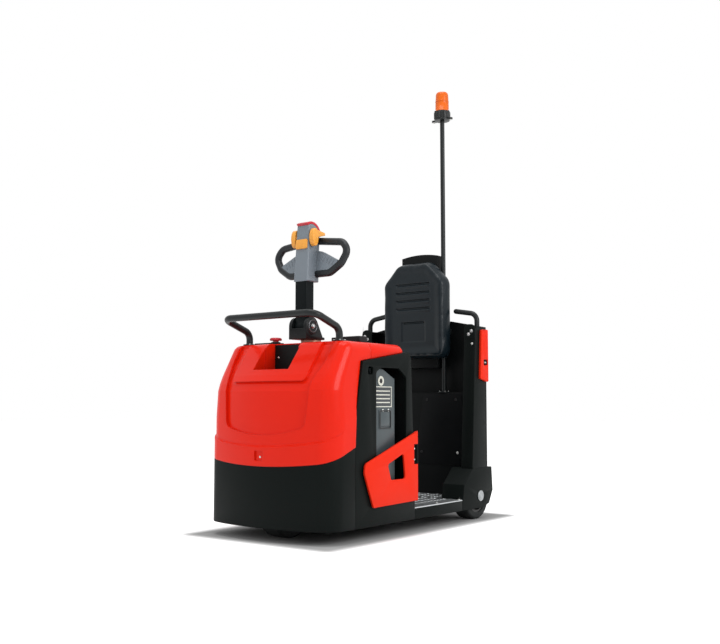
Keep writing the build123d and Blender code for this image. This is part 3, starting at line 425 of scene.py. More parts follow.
def set_out(pattern, spots):
    """Copy a small part made for radius 1 to each (place, facing, radius) and join the copies."""
    copies = []
    for place, facing, radius in spots:
        select_only(pattern)
        bpy.ops.object.duplicate()
        copy = bpy.context.object
        copy.location = place
        copy.rotation_euler = Vector(facing).to_track_quat("Z", "Y").to_euler()
        copy.scale = (radius, radius, radius)
        freeze()
        copies.append(copy)
    return joined(copies)


def fasten(pattern, name, coat, spots, body="chassis"):
    """Set fasteners out as one bright piece that a body carries."""
    settle(set_out(pattern, spots), name, "bright_steel", coat, body=body)


def hex_bolt():
    """Hexagon head with broken corners on a washer."""
    washer_thickness, washer_radius, head_height = 0.16, 1.25, 0.62
    washer = disc(20, washer_radius, washer_thickness, (0, 0, washer_thickness / 2))
    rounded(washer, 0.05, segments=1)
    head = disc(6, 1, head_height, (0, 0, washer_thickness + head_height / 2))
    open_faces(head, up)
    inset((0.14, 0.10), (0.30, -0.05))
    end_edit(head)
    return joined([head, washer])


def socket_screw():
    """Button head with a deep socket."""
    head_height = 0.34
    head = disc(18, 1, head_height, (0, 0, head_height / 2))
    open_faces(head, up)
    inset((0.18, 0.18), (0.30, 0.05), (0.03, -0.26))
    end_edit(head, 40)
    return head


bolt_pattern = hex_bolt()
screw_pattern = socket_screw()
zinc = finish(
    "zinc_plating", (0.62, 0.62, 0.60), 0.30, "fine", 600, 0.00004, mottle=0.14, Metallic=1.0,
)

# ---- Hood, dash cover and tray -----------
# Vacuum-formed shells in signal red under a thin clear gloss, over the drive unit and the battery.
# A black tray closes the notch behind; one screw sits in the front pocket and two in the tray.
ahead = (0, -1, 0)
front = cad_box[0][1]
hood_pocket_depth = 0.0068
pocket_floor = front + hood_pocket_depth
pocket_screw = (0.003, 0.295)
tray_screw_reach, tray_screw_height, tray_wall = 0.062, 0.655, 0.004
signal_red = finish(
    "signal_red_lacquer", (0.76, 0.014, 0.002), 0.34, "peel", 150, 0.00002, mottle=0.05,
    edge=0.0050, Coat_Weight=0.22, Coat_Roughness=0.16, Specular_IOR_Level=0.07,
)
coat_nodes(signal_red, "front_hood")
eased("dash_cover", 0.003, signal_red, angle=35)
tray_plastic = finish(
    "tray_black_plastic", (0.004, 0.006, 0.006), 0.46, "pebble", 1500, 0.00005,
    Specular_IOR_Level=0.12,
)
coat_nodes(tray_plastic, "hood_tray")
tray_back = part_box("hood_tray")[1][1] - tray_wall
hood_screws = [((pocket_screw[0], pocket_floor, pocket_screw[1]), ahead, 0.0040)]
for side in (-1, 1):
    hood_screws.append(((side * tray_screw_reach, tray_back, tray_screw_height), ahead, 0.0038))
fasten(screw_pattern, "hood_screws", zinc, hood_screws)

# ---- Battery -----------------------------
# Welded steel battery case in grey-green enamel. Each side has a socket in a white nylon ring, a
# ruled plate in a white frame, and a folding pull in a rubber-rimmed pocket under two rivets.
battery_grey = finish(
    "battery_grey_enamel", (0.046, 0.062, 0.068), 0.36, "peel", 260, 0.00005, mottle=0.12,
    wear=0.5, edge=0.002,
)
eased("battery_case", 0.003, battery_grey)
socket_white = finish("socket_ring_nylon", (0.66, 0.66, 0.58), 0.38, "fine", 1200, 0.00003)
eased("battery_sockets", 0.0009, socket_white)
case_low, case_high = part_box("battery_case")
socket_low, socket_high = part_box("battery_sockets")
case_face = case_high[0]
leftward = (1, 0, 0)
lying = (0, math.radians(90), 0)
plate_setback, plate_drop = 0.076, 0.104
plate_width, plate_height, plate_thickness = 0.110, 0.076, 0.0010
rule_count, rule_pitch, rule_drop = 4, 0.014, 0.083
rule_width, rule_height, rule_thickness = 0.088, 0.0042, 0.0012
pull_setback, pull_drop = 0.088, 0.187
pull_width, pull_height, pull_thickness = 0.074, 0.070, 0.0028
rim_height, rim_width, rim_corner = 0.067, 0.071, 0.006
rim_wall, rim_depth, rim_standoff = 0.0034, 0.0048, 0.0012
rivet_setbacks, rivet_drop = (0.076, 0.110), 0.1535


def block(size, place=(0, 0, 0), turn=(0, 0, 0)):
    """Square block of a size at a place, as the start of a piece."""
    bpy.ops.mesh.primitive_cube_add(size=1, location=place)
    piece = bpy.context.object
    piece.dimensions = size
    piece.rotation_euler = turn
    freeze()
    return piece


def both_sides(thing):
    """Add a piece's mirror image on the tug's other side."""
    select_only(thing)
    freeze()
    mirror = thing.modifiers.new("other_side", "MIRROR")
    mirror.use_mirror_merge = False
    apply_all(thing)


def plate_on_case(setback, drop, width, height, thickness):
    """Flat block on the battery's left face, from its front edge and its top."""
    middle = (case_face + thickness / 2, case_low[1] + setback, case_high[2] - drop)
    return block((thickness, width, height), middle)


def repeated(piece, step, count):
    """Repeat a piece along a step, as one mesh."""
    rows = piece.modifiers.new("rows", "ARRAY")
    rows.use_relative_offset = False
    rows.use_constant_offset = True
    rows.constant_offset_displace = step
    rows.count = count
    apply_all(piece)


contact_radius, contact_thickness = 0.0088, 0.0022
contact_place = (
    case_face + contact_thickness / 2,
    (socket_low[1] + socket_high[1]) / 2, (socket_low[2] + socket_high[2]) / 2,
)
contact = disc(24, contact_radius, contact_thickness, contact_place, lying)
open_faces(contact, leftward)
inset((0.0022, 0), (0.0008, -0.0012))
end_edit(contact)
both_sides(contact)
contact_black = finish("contact_black", (0.008, 0.008, 0.009), 0.5, "fine", 1500, 0.00004)
settle(contact, "battery_contacts", "trim_black", contact_black)

plate_frame = plate_on_case(plate_setback, plate_drop, plate_width, plate_height, plate_thickness)
open_faces(plate_frame, leftward)
inset((0.0030, 0), (0.0004, -0.0005))
plate_frame.data.materials.append(socket_white)
plate_frame.data.materials.append(finish(
    "rating_plate_dark", (0.035, 0.040, 0.045), 0.34, "fine", 900, 0.00002, mottle=0.15,
    stretch=(1, 4, 1),
))
plate_frame.active_material_index = 1
bpy.ops.object.material_slot_assign()
end_edit(plate_frame)
both_sides(plate_frame)
settle(plate_frame, "battery_rating_plate", "trim_black")
plate_rows = plate_on_case(plate_setback, rule_drop, rule_width, rule_height, rule_thickness)
repeated(plate_rows, (0, 0, -rule_pitch), rule_count)
both_sides(plate_rows)
settle(plate_rows, "battery_plate_rows", "trim_black", socket_white)

pull = plate_on_case(pull_setback, pull_drop, pull_width, pull_height, pull_thickness)
open_faces(pull, leftward)
inset((0.0030, 0), (0.0006, -0.0022), (0.0050, 0))
bpy.ops.transform.translate(value=(0, -0.0015, 0.0015))
inset((0.0004, 0.0026))
bpy.ops.object.mode_set(mode="OBJECT")
rounded(pull, 0.0009)
both_sides(pull)
settle(pull, "battery_pull", "battery_grey", battery_grey)

bpy.ops.mesh.primitive_plane_add(
    size=1, rotation=lying,
    location=(case_face + rim_standoff, case_low[1] + pull_setback, case_high[2] - pull_drop),
)
pull_rim = bpy.context.object
pull_rim.scale = (rim_height, rim_width, 1)
freeze()
open_faces(pull_rim, leftward)
bpy.ops.mesh.bevel(offset=rim_corner, segments=3, affect="VERTICES")
inset((rim_wall, 0))
bpy.ops.mesh.delete(type="FACE")
bpy.ops.object.mode_set(mode="OBJECT")
wall = pull_rim.modifiers.new("wall", "SOLIDIFY")
wall.thickness = rim_depth
wall.offset = 0
apply_all(pull_rim)
both_sides(pull_rim)
settle(pull_rim, "battery_pull_rim", "trim_black", contact_black)
fasten(screw_pattern, "battery_rivets", zinc, [
    ((side * case_face, case_low[1] + setback, case_high[2] - rivet_drop), (side, 0, 0), 0.0052)
    for side in (-1, 1) for setback in rivet_setbacks
])

# ---- Gates and column covers -------------
# Laser-cut plates in satin red powder coat. Each gate swings on a barrel hinge held by two screws,
# and each column cover has a slam latch: a black cup with a bright steel tongue.
satin_red = finish(
    "satin_red_coat", (0.80, 0.024, 0.005), 0.46, "fine", 900, 0.00007, mottle=0.05, wear=0.2,
    Specular_IOR_Level=0.10,
)
for gate in ("gate_left", "gate_right"):
    eased(gate, 0.0012, satin_red)
eased("side_covers", 0.0022, satin_red)
latch_low, latch_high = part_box("side_latches")
latch_middle = (latch_low[1] + latch_high[1]) / 2
latch_height = (latch_low[2] + latch_high[2]) / 2
cup_size, tongue_size = (0.009, 0.028, 0.016), (0.0050, 0.0150, 0.0064)
tongue_depth, tongue_shift = 0.0035, 0.004
hinge_screw_reach, hinge_screw_setback, hinge_screw_heights = 0.306, 0.006, (0.272, 0.313)
latch = block(cup_size, (latch_high[0] - cup_size[0] / 2, latch_middle, latch_height))
open_faces(latch, leftward)
inset((0.0022, 0), (0.0008, -0.0045))
bpy.ops.transform.resize(value=(1, 0.82, 1))
bpy.ops.object.mode_set(mode="OBJECT")
rounded(latch, 0.0007)
tongue = block(
    tongue_size, (latch_high[0] - tongue_depth, latch_middle + tongue_shift, latch_height),
)
rounded(tongue, 0.0010)
both_sides(latch)
both_sides(tongue)
settle(latch, "latch_cups", "bright_steel", tray_plastic)
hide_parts("side_latches")
settle(tongue, "latch_tongues", "bright_steel", zinc)
hinge_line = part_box("gate_hinges")[0][1] + hinge_screw_setback
fasten(screw_pattern, "hinge_screws", zinc, [
    ((side * hinge_screw_reach, hinge_line, height), (side, 0, 0), 0.0034)
    for side in (-1, 1) for height in hinge_screw_heights
])

# ---- Platform ----------------------------
# Rolled aluminium tread plate with raised lozenges, turned left and right by turns, screwed down on
# the low step-in floor.
tread_alloy = finish(
    "tread_alloy", (0.50, 0.52, 0.53), 0.34, "fine", 420, 0.00006, mottle=0.22, wear=0.4,
    stretch=(1, 0.25, 1), Metallic=1.0,
)
eased("tread_plate", 0.0012, tread_alloy)
tread_low, tread_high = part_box("tread_plate")
wide_end = tread_low[1] + 0.340
down = (0, 0, -1)
between_housings = 0.197
front_margin, side_margin, step_margin = 0.010, 0.012, 0.009
housing_margin, rear_margin = 0.007, 0.004
lozenge_pitch, lozenge_height = 0.023, 0.0011
lozenge_radius, lozenge_slimness, lozenge_top = 0.0070, 0.32, 0.72
tread_screw_reach, tread_screw_setbacks = 0.288, (0.006, 0.172, 0.3395)


def lozenge_field(left, right, near, far):
    """Raised lozenges over a rectangle of the plate, from one pair and two arrays."""
    pair = []
    for number, turn in enumerate((45, -45)):
        bar = disc(8, lozenge_radius, lozenge_height)
        bar.scale = (1, lozenge_slimness, 1)
        bar.rotation_euler = (0, 0, math.radians(turn))
        freeze()
        open_faces(bar, down)
        bpy.ops.mesh.delete(type="FACE")
        pick_faces(bar, up)
        bpy.ops.transform.resize(value=(lozenge_top, lozenge_top, 1))
        end_edit(bar)
        bar.location = (
            left + lozenge_pitch * (0.5 + number), near + lozenge_pitch * 0.5,
            tread_high[2] + lozenge_height / 2,
        )
        freeze()
        pair.append(bar)
    field = joined(pair)
    repeated(field, (2 * lozenge_pitch, 0, 0), int((right - left) / lozenge_pitch) // 2)
    repeated(field, (0, lozenge_pitch, 0), int((far - near) / lozenge_pitch))
    return field


tread_field = joined([
    lozenge_field(
        tread_low[0] + side_margin, tread_high[0] - side_margin, tread_low[1] + front_margin,
        wide_end,
    ),
    lozenge_field(
        -between_housings + housing_margin, between_housings - housing_margin,
        wide_end + step_margin, tread_high[1] - rear_margin,
    ),
])
settle(tread_field, "tread_lozenges", "tread_aluminium", tread_alloy)
fasten(screw_pattern, "tread_screws", zinc, [
    ((side * tread_screw_reach, tread_low[1] + setback, tread_high[2] - 0.0005), up, 0.0060)
    for side in (-1, 1) for setback in tread_screw_setbacks
])

# ---- Wheels and drive unit ---------------
# Polyurethane tyres pressed on cast-iron centres, turned steel axles with pressed caps, and the
# cast gearbox with its painted motor behind the skirt.
tyre_rubber = finish(
    "tyre_polyurethane", (0.016, 0.018, 0.018), 0.60, "cast", 300, 0.00022, mottle=0.3,
    Specular_IOR_Level=0.2,
)
coat_nodes(tyre_rubber, "rear_tyre_left", "rear_tyre_right", "drive_tyre")
cast_iron = finish(
    "cast_iron", (0.075, 0.075, 0.075), 0.58, "cast", 420, 0.00032, mottle=0.2, Metallic=0.7,
)
coat_nodes(cast_iron, "rear_rim_left", "rear_rim_right", "drive_hub", "drive_gearbox")
motor_black = finish("motor_enamel", (0.022, 0.023, 0.026), 0.42, "peel", 300, 0.00008)
coat_nodes(motor_black, "drive_motor")
turned_steel = finish(
    "turned_steel", (0.55, 0.55, 0.55), 0.32, "fine", 500, 0.00004, mottle=0.1,
    stretch=(6, 1, 1), Metallic=1.0,
)
coat_nodes(turned_steel, "rear_axles")
cap_grey = finish(
    "axle_cap_zinc", (0.40, 0.42, 0.43), 0.42, "cast", 260, 0.00008, mottle=0.16, Metallic=0.4,
)
eased("axle_caps", 0.0010, cap_grey)
cap_low, cap_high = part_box("axle_caps")
ring_radius, ring_thickness, ring_standoff = 0.0125, 0.0012, 0.0004
ring_place = (
    cap_high[0] + ring_standoff, (cap_low[1] + cap_high[1]) / 2, (cap_low[2] + cap_high[2]) / 2,
)
cap_ring = disc(32, ring_radius, ring_thickness, ring_place, lying)
open_faces(cap_ring, leftward)
inset((0.0022, 0), (0.0004, -0.0009), (0.0055, 0), (0.0006, -0.0006))
end_edit(cap_ring)
both_sides(cap_ring)
settle(cap_ring, "axle_cap_rings", "bright_steel", cap_grey)

# ---- Rear body fittings ------------------
# A black plastic service cover held by one zinc and three black screws, chromed bolts through the
# lugs on the columns, screws along the console back and rear wall, and the tow coupling's bolts.
cover_plastic = finish(
    "service_cover_plastic", (0.0025, 0.003, 0.0035), 0.46, "pebble", 900, 0.00008,
    Specular_IOR_Level=0.10,
)
eased("service_cover", 0.0012, cover_plastic)
behind = (0, 1, 0)
cover_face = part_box("service_cover")[0][1]
coupling_low, coupling_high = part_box("tow_coupling")
wall_low, wall_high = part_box("rear_wall")
console_low, console_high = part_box("console_back")
cover_screw_radius = 0.0055
lug_face = front + 1.004
lug_sink = 0.0068
lug_bolt_spots = ((0.269, 0.777), (0.283, 0.791))
column_screw_reach, column_screw_height = 0.290, 0.736
console_screw_reach, console_screw_rise, console_screw_drop = 0.268, 0.030, 0.050
coupling_bolt_reach, coupling_bolt_inset, coupling_plate = 0.056, 0.020, 0.010
wall_screw_spots = ((0.272, 0.250), (0.272, 0.420), (0.272, 0.600), (0.272, 0.780), (0.150, 0.810))
black_oxide = finish(
    "black_oxide_steel", (0.012, 0.012, 0.013), 0.36, "fine", 700, 0.00003, mottle=0.1,
    Specular_IOR_Level=0.3,
)
chrome = finish(
    "chromed_steel", (0.50, 0.50, 0.50), 0.24, "fine", 700, 0.00002, mottle=0.05, Metallic=1.0,
)
for name, spots, coat in (
    ("service_cover_screws", ((0.006, 0.272), (0.184, 0.500), (0.036, 0.500)), black_oxide),
    ("service_cover_key_screw", ((0.190, 0.272),), zinc),
):
    fasten(screw_pattern, name, coat, [
        ((x, cover_face, z), ahead, cover_screw_radius) for x, z in spots
    ])
fasten(bolt_pattern, "lug_bolts", chrome, [
    ((side * x, lug_face, z), ahead, 0.0056) for side in (-1, 1) for x, z in lug_bolt_spots
])
fasten(screw_pattern, "column_screws", zinc, [
    ((side * column_screw_reach, lug_face - lug_sink, column_screw_height), ahead, 0.0048)
    for side in (-1, 1)
])
fasten(screw_pattern, "console_screws", zinc, [
    ((x, console_high[1], z), behind, 0.0055)
    for x in (-console_screw_reach, 0, console_screw_reach)
    for z in (console_low[2] + console_screw_rise, console_high[2] - console_screw_drop)
])
fasten(bolt_pattern, "coupling_bolts", zinc, [
    ((x, wall_high[1] + coupling_plate, z), behind, 0.0095)
    for x in (-coupling_bolt_reach, coupling_bolt_reach)
    for z in (coupling_low[2] + coupling_bolt_inset, coupling_high[2] - coupling_bolt_inset)
])
fasten(screw_pattern, "wall_screws", zinc, [
    ((side * x, wall_high[1], z), behind, 0.0060)
    for side in (-1, 1) for x, z in wall_screw_spots
])

# ---- Rails and mast ----------------------
# Guard bar, grab handles and beacon mast are bent steel tube in a smoother black coat. The guard
# bar stands on round flanges, and the mast on a flange with a clamp to the rear wall.
tube_coat = finish(
    "tube_black_coat", (0.0085, 0.0110, 0.0115), 0.34, "peel", 420, 0.00005, wear=0.1,
    Specular_IOR_Level=0.26,
)
coat_nodes(tube_coat, "guard_bar", "grab_handles", "mast")
guard_low, guard_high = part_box("guard_bar")
mast_low, mast_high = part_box("mast")
mast_axis = ((mast_low[0] + mast_high[0]) / 2, (mast_low[1] + mast_high[1]) / 2)
hood_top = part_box("stop_button_base")[0][2]
guard_tube, mast_tube = 0.013, 0.010
flange_thickness, flange_land, flange_screw_circle, flange_screw_count = 0.004, 0.004, 0.0195, 4
clamp_height, clamp_size, clamp_nose = 0.800, (0.034, 0.028), 0.015


def foot_flange(place, radius, bore):
    """Turned flange round a tube's foot, with its screws. Returns the two pieces."""
    top = place[2] + flange_thickness
    middle = (place[0], place[1], place[2] + flange_thickness / 2)
    flange = disc(40, radius, flange_thickness, middle)
    open_faces(flange, up)
    inset((radius - bore - flange_land, 0), (0.003, 0.004))
    bpy.ops.object.mode_set(mode="OBJECT")
    rounded(flange, 0.0008)
    heads = []
    for number in range(flange_screw_count):
        turn = math.radians(45 + 360 * number / flange_screw_count)
        heads.append((
            (place[0] + flange_screw_circle * math.cos(turn),
             place[1] + flange_screw_circle * math.sin(turn), top), up, 0.0040,
        ))
    return flange, set_out(screw_pattern, heads)


guard_foot = guard_high[1] - guard_tube
flanges, flange_screws = zip(*(foot_flange(place, radius, bore) for place, radius, bore in (
    ((guard_low[0] + guard_tube, guard_foot, hood_top), 0.025, guard_tube),
    ((guard_high[0] - guard_tube, guard_foot, hood_top), 0.025, guard_tube),
    ((*mast_axis, mast_low[2]), 0.026, mast_tube),
)))
settle(joined(flanges), "tube_flanges", "frame_black", tube_coat)
settle(joined(flange_screws), "flange_screws", "bright_steel", zinc)

clamp = block(
    (clamp_size[0], wall_low[1] - mast_axis[1], clamp_size[1]),
    (mast_axis[0], (mast_axis[1] + wall_low[1]) / 2, clamp_height),
)
open_faces(clamp, ahead)
bpy.ops.mesh.extrude_region_move(TRANSFORM_OT_translate={"value": (0, -clamp_nose, 0)})
bpy.ops.transform.resize(value=(0.62, 1, 1))
bpy.ops.object.mode_set(mode="OBJECT")
rounded(clamp, 0.0025)
settle(clamp, "mast_clamp", "frame_black", tube_coat)

# ---- Backrest cushion --------------------
# One moulded pad of integral-skin foam, dished within a soft rim, with four long grooves and a
# shallow pocket under a fifth. It is screwed to the carrier box behind it.
pad_low, pad_high = (Vector(corner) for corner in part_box("backrest_cushion"))
pad_oversize = 0.001
pad_half = (pad_high.x - pad_low.x) / 2 + pad_oversize
pad_foot = pad_low.z - pad_oversize
pad_shoulder = pad_high.z - 0.088
pad_top_share = 0.50
pad_back_depth = 0.024
pad_front_depth, pad_draft = 0.034, 0.011
pad_foot_corner, pad_top_corner = 0.044, 0.020
pad_puff, pad_voxel = 0.006, 0.005
pad_back_band = 0.040
pad_softening, pad_soft_angle, pad_smoothings = 0.015, 20, 6
foam_pressure, foam_frames = 4, 20
dish_depth, dish_rim, dish_ramp, dish_fade = 0.013, 0.018, 0.044, 0.6
# Of each groove and pocket, a pair is its half size and the width of its soft edge.
groove_drops, groove_depth = (0.102, 0.139, 0.174, 0.210), 0.0065
groove_along, groove_across = (0.084, 0.010), (0.0006, 0.0065)
lip_offset, lip_height = 0.0105, 0.0018
lip_along, lip_across = (0.080, 0.012), (0.0010, 0.0070)
fifth_drop, fifth_depth = 0.272, 0.0060
fifth_along, fifth_across = (0.052, 0.008), (0.0006, 0.0060)
pocket_drop, pocket_depth = 0.312, 0.0030
pocket_along, pocket_across = (0.058, 0.007), (0.040, 0.007)


def pick_edges(thing, test):
    """Select, in edit mode, only the edges whose two ends pass a test."""
    bpy.ops.mesh.select_mode(type="EDGE")
    bpy.ops.mesh.select_all(action="DESELECT")
    bpy.ops.object.mode_set(mode="OBJECT")
    for edge in thing.data.edges:
        edge.select = test(*(thing.data.vertices[number].co for number in edge.vertices))
    bpy.ops.object.mode_set(mode="EDIT")


cushion = block(
    (2 * pad_half, pad_back_depth, pad_shoulder - pad_foot),
    (0, pad_high.y - pad_back_depth / 2, (pad_shoulder + pad_foot) / 2),
)
open_faces(cushion, up)
bpy.ops.mesh.extrude_region_move(
    TRANSFORM_OT_translate={"value": (0, 0, pad_high.z + pad_oversize - pad_shoulder)},
)
bpy.ops.transform.resize(value=(pad_top_share, 1, 1))
pick_edges(cushion, lambda a, b: abs(a.y - b.y) > 0.02 and a.z < pad_shoulder - 0.1)
bpy.ops.mesh.bevel(offset=pad_foot_corner, segments=6)
pick_edges(cushion, lambda a, b: abs(a.y - b.y) > 0.02 and a.z > pad_shoulder - 0.01)
bpy.ops.mesh.bevel(offset=pad_top_corner, segments=3)
bpy.ops.mesh.select_mode(type="FACE")
pick_faces(cushion, ahead)
inset((pad_draft, pad_front_depth))
bpy.ops.object.mode_set(mode="OBJECT")
softened = cushion.modifiers.new("softened", "BEVEL")
softened.width = pad_softening
softened.segments = 4
softened.limit_method = "ANGLE"
softened.angle_limit = math.radians(pad_soft_angle)
even_skin = cushion.modifiers.new("even_skin", "REMESH")
even_skin.mode = "VOXEL"
even_skin.voxel_size = pad_voxel
apply_all(cushion)

before = [vertex.co.copy() for vertex in cushion.data.vertices]
foam = cushion.modifiers.new("foam", "CLOTH")
foam.settings.use_pressure = True
foam.settings.uniform_pressure_force = foam_pressure
foam.settings.effector_weights.gravity = 0
foam.point_cache.frame_start = 1
foam.point_cache.frame_end = foam_frames
for step in range(1, foam_frames + 1):
    bpy.context.scene.frame_set(step)
apply_all(cushion)
bpy.context.scene.frame_set(1)
for vertex, start in zip(cushion.data.vertices, before):
    move = vertex.co - start
    if move.length > pad_puff:
        vertex.co = start + move.normalized() * pad_puff

ease = cushion.modifiers.new("ease", "SMOOTH")
ease.iterations = pad_smoothings
ease.factor = 0.5
fine = cushion.modifiers.new("fine", "SUBSURF")
fine.levels = 1
fine.render_levels = 1
apply_all(cushion)


def soft_step(share):
    """A smooth rise from 0 to 1 as share goes from 0 to 1."""
    share = min(1.0, max(0.0, share))
    return share * share * (3 - 2 * share)


def swell(distance, half, soft):
    """1 within half of a line, falling smoothly to 0 over soft."""
    return soft_step((half + soft - abs(distance)) / soft)


chamfer_rise = pad_high.z - pad_shoulder
chamfer_run = pad_half * (1 - pad_top_share)
chamfer_length = math.hypot(chamfer_rise, chamfer_run)
for vertex in cushion.data.vertices:
    spot = vertex.co
    if spot.y > pad_high.y - pad_back_band:
        spot.y = min(spot.y, pad_high.y)
        continue
    height = spot.z - pad_foot
    drop = pad_high.z - spot.z
    inside = pad_half - abs(spot.x)
    cut = (inside * chamfer_rise + (pad_shoulder - spot.z) * chamfer_run) / chamfer_length
    rim = min(inside, height, drop, cut)
    fade = 1 - dish_fade * height / (pad_high.z - pad_foot)
    dent = dish_depth * fade * soft_step((rim - dish_rim) / dish_ramp)
    for groove in groove_drops:
        line = swell(drop - groove, *groove_across) * swell(spot.x, *groove_along)
        lip = swell(drop - groove - lip_offset, *lip_across) * swell(spot.x, *lip_along)
        dent += groove_depth * line - lip_height * lip
    dent += fifth_depth * swell(drop - fifth_drop, *fifth_across) * swell(spot.x, *fifth_along)
    dent += pocket_depth * swell(drop - pocket_drop, *pocket_across) * swell(spot.x, *pocket_along)
    spot.y += dent
select_only(cushion)
bpy.ops.object.shade_smooth()
integral_skin = finish(
    "integral_skin_foam", (0.0042, 0.0090, 0.0125), 0.31, "pebble", 620, 0.00009, mottle=0.14,
    Specular_IOR_Level=0.26,
)
settle(cushion, "backrest_pad", "cushion_black", integral_skin)
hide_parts("backrest_cushion")

# ---- Beacon ------------------------------
# Amber polycarbonate lens, fluted inside a smooth shoulder and with a moulded ring at mid-height,
# over a steel reflector. Its ribbed black base is screwed to a plate with two ears.
dome_low, dome_high = (Vector(corner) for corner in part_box("beacon_dome"))
dome_middle = (dome_low + dome_high) / 2
dome_radius = (dome_high.x - dome_low.x) / 2
dome_rise = dome_high.z - dome_low.z
dome_place = (dome_middle.x, dome_middle.y, dome_low.z)
lens_sides, flute_share, flute_foot, flute_top = 72, 0.035, 0.005, 0.87
lens_ring_foot, lens_ring_top = 0.485, 0.535
rib_circle, rib_lift, rib_shortfall = 0.0335, 0.001, 0.005
rib_pairs, first_pair, rib_offsets = 6, 30, (-12, 8)
rib_foot_radius, rib_radius, rib_chamfer = 0.0030, 0.0036, 0.0008
ear_bolt_inset, base_screw_circle = 0.010, 0.032


def turned(place, profile, sides):
    """Closed body of revolution on an upright axis, ring by ring from (radius, height) pairs."""
    radius, height = profile[0]
    bpy.ops.mesh.primitive_circle_add(
        vertices=sides, radius=radius, location=(place[0], place[1], place[2] + height),
    )
    body = bpy.context.object
    freeze()
    bpy.ops.object.mode_set(mode="EDIT")
    bpy.ops.mesh.select_mode(type="EDGE")
    bpy.ops.mesh.select_all(action="SELECT")
    for wider, higher in profile[1:]:
        bpy.ops.mesh.extrude_edges_move(TRANSFORM_OT_translate={"value": (0, 0, higher - height)})
        bpy.ops.transform.resize(value=(wider / radius, wider / radius, 1))
        radius, height = wider, higher
    bpy.ops.mesh.select_all(action="SELECT")
    bpy.ops.mesh.fill_holes(sides=0)
    bpy.ops.mesh.select_all(action="SELECT")
    bpy.ops.mesh.normals_make_consistent(inside=False)
    bpy.ops.object.mode_set(mode="OBJECT")
    bpy.ops.object.shade_smooth_by_angle(angle=math.radians(32))
    return body


def fluted(body, place, sides, every, first, share, within):
    """Draw a turned body's upright edges in by a share of their radius.

    One edge in every so many moves, where within(radius, height), both from the place, is true.
    """
    for vertex in body.data.vertices:
        out = Vector((vertex.co.x - place[0], vertex.co.y - place[1]))
        number = round(math.atan2(out.y, out.x) / (2 * math.pi) * sides)
        if number % every == first and within(out.length, vertex.co.z - place[2]):
            vertex.co.x -= out.x * share
            vertex.co.y -= out.y * share


def round_circle(place, radius, turns, height):
    """Places on a level circle round an upright axis, from turns in degrees."""
    return [
        (place[0] + radius * math.cos(turn), place[1] + radius * math.sin(turn), height)
        for turn in (math.radians(degrees) for degrees in turns)
    ]


lens_body = turned(dome_place, [
    (dome_radius, 0), (dome_radius, 0.004), (dome_radius * 0.965, 0.006),
    (dome_radius * 0.945, dome_rise * 0.48), (dome_radius * 0.975, dome_rise * 0.49),
    (dome_radius * 0.975, dome_rise * 0.53), (dome_radius * 0.935, dome_rise * 0.54),
    (dome_radius * 0.890, dome_rise * 0.86), (dome_radius * 0.840, dome_rise * 0.93),
    (dome_radius * 0.740, dome_rise * 0.975), (dome_radius * 0.580, dome_rise * 0.995),
    (dome_radius * 0.200, dome_rise),
], lens_sides)
fluted(
    lens_body, dome_place, lens_sides, 2, 1, flute_share,
    lambda radius, height: flute_foot < height < dome_rise * flute_top
    and not dome_rise * lens_ring_foot < height < dome_rise * lens_ring_top,
)
amber = finish(
    "beacon_amber_lens", (0.72, 0.125, 0.004), 0.22, "fine", 300, 0.00002, mottle=0.12,
    Specular_IOR_Level=0.3,
)
settle(lens_body, "beacon_lens", "beacon_orange", amber)
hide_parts("beacon_dome")
reflector = turned(dome_place, [
    (0.021, 0.002), (0.019, 0.006), (0.012, 0.034), (0.012, 0.048), (0.018, 0.074), (0.008, 0.078),
], 32)
settle(reflector, "beacon_reflector", "bright_steel", chrome)
beacon_black = finish(
    "beacon_base_plastic", (0.006, 0.008, 0.008), 0.38, "fine", 1100, 0.00005, wear=0.2,
    Specular_IOR_Level=0.35,
)
eased("beacon_base", 0.0015, beacon_black, angle=40)
eased("beacon_plate", 0.0012, beacon_black)
base_low, base_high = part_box("beacon_base")
plate_low, plate_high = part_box("beacon_plate")
rib_height = base_high[2] - base_low[2] - rib_shortfall
rib_pattern = turned((0, 0, 0), [
    (rib_foot_radius, 0), (rib_radius, rib_chamfer), (rib_radius, rib_height - rib_chamfer),
    (rib_foot_radius, rib_height),
], 10)
rib_turns = [
    first_pair + 360 / rib_pairs * pair + offset for pair in range(rib_pairs)
    for offset in rib_offsets
]
base_ribs = set_out(rib_pattern, [
    (place, up, 1)
    for place in round_circle(dome_place, rib_circle, rib_turns, base_low[2] + rib_lift)
])
settle(base_ribs, "beacon_base_ribs", "trim_black", beacon_black)
fasten(bolt_pattern, "beacon_bolts", zinc, [
    ((x, dome_middle.y, plate_low[2]), down, 0.0046)
    for x in (plate_low[0] + ear_bolt_inset, plate_high[0] - ear_bolt_inset)
])
fasten(screw_pattern, "beacon_screws", zinc, [
    (place, up, 0.0038)
    for place in round_circle(dome_place, base_screw_circle, (0, 120, 240), base_high[2])
])
bpy.data.objects.remove(rib_pattern)

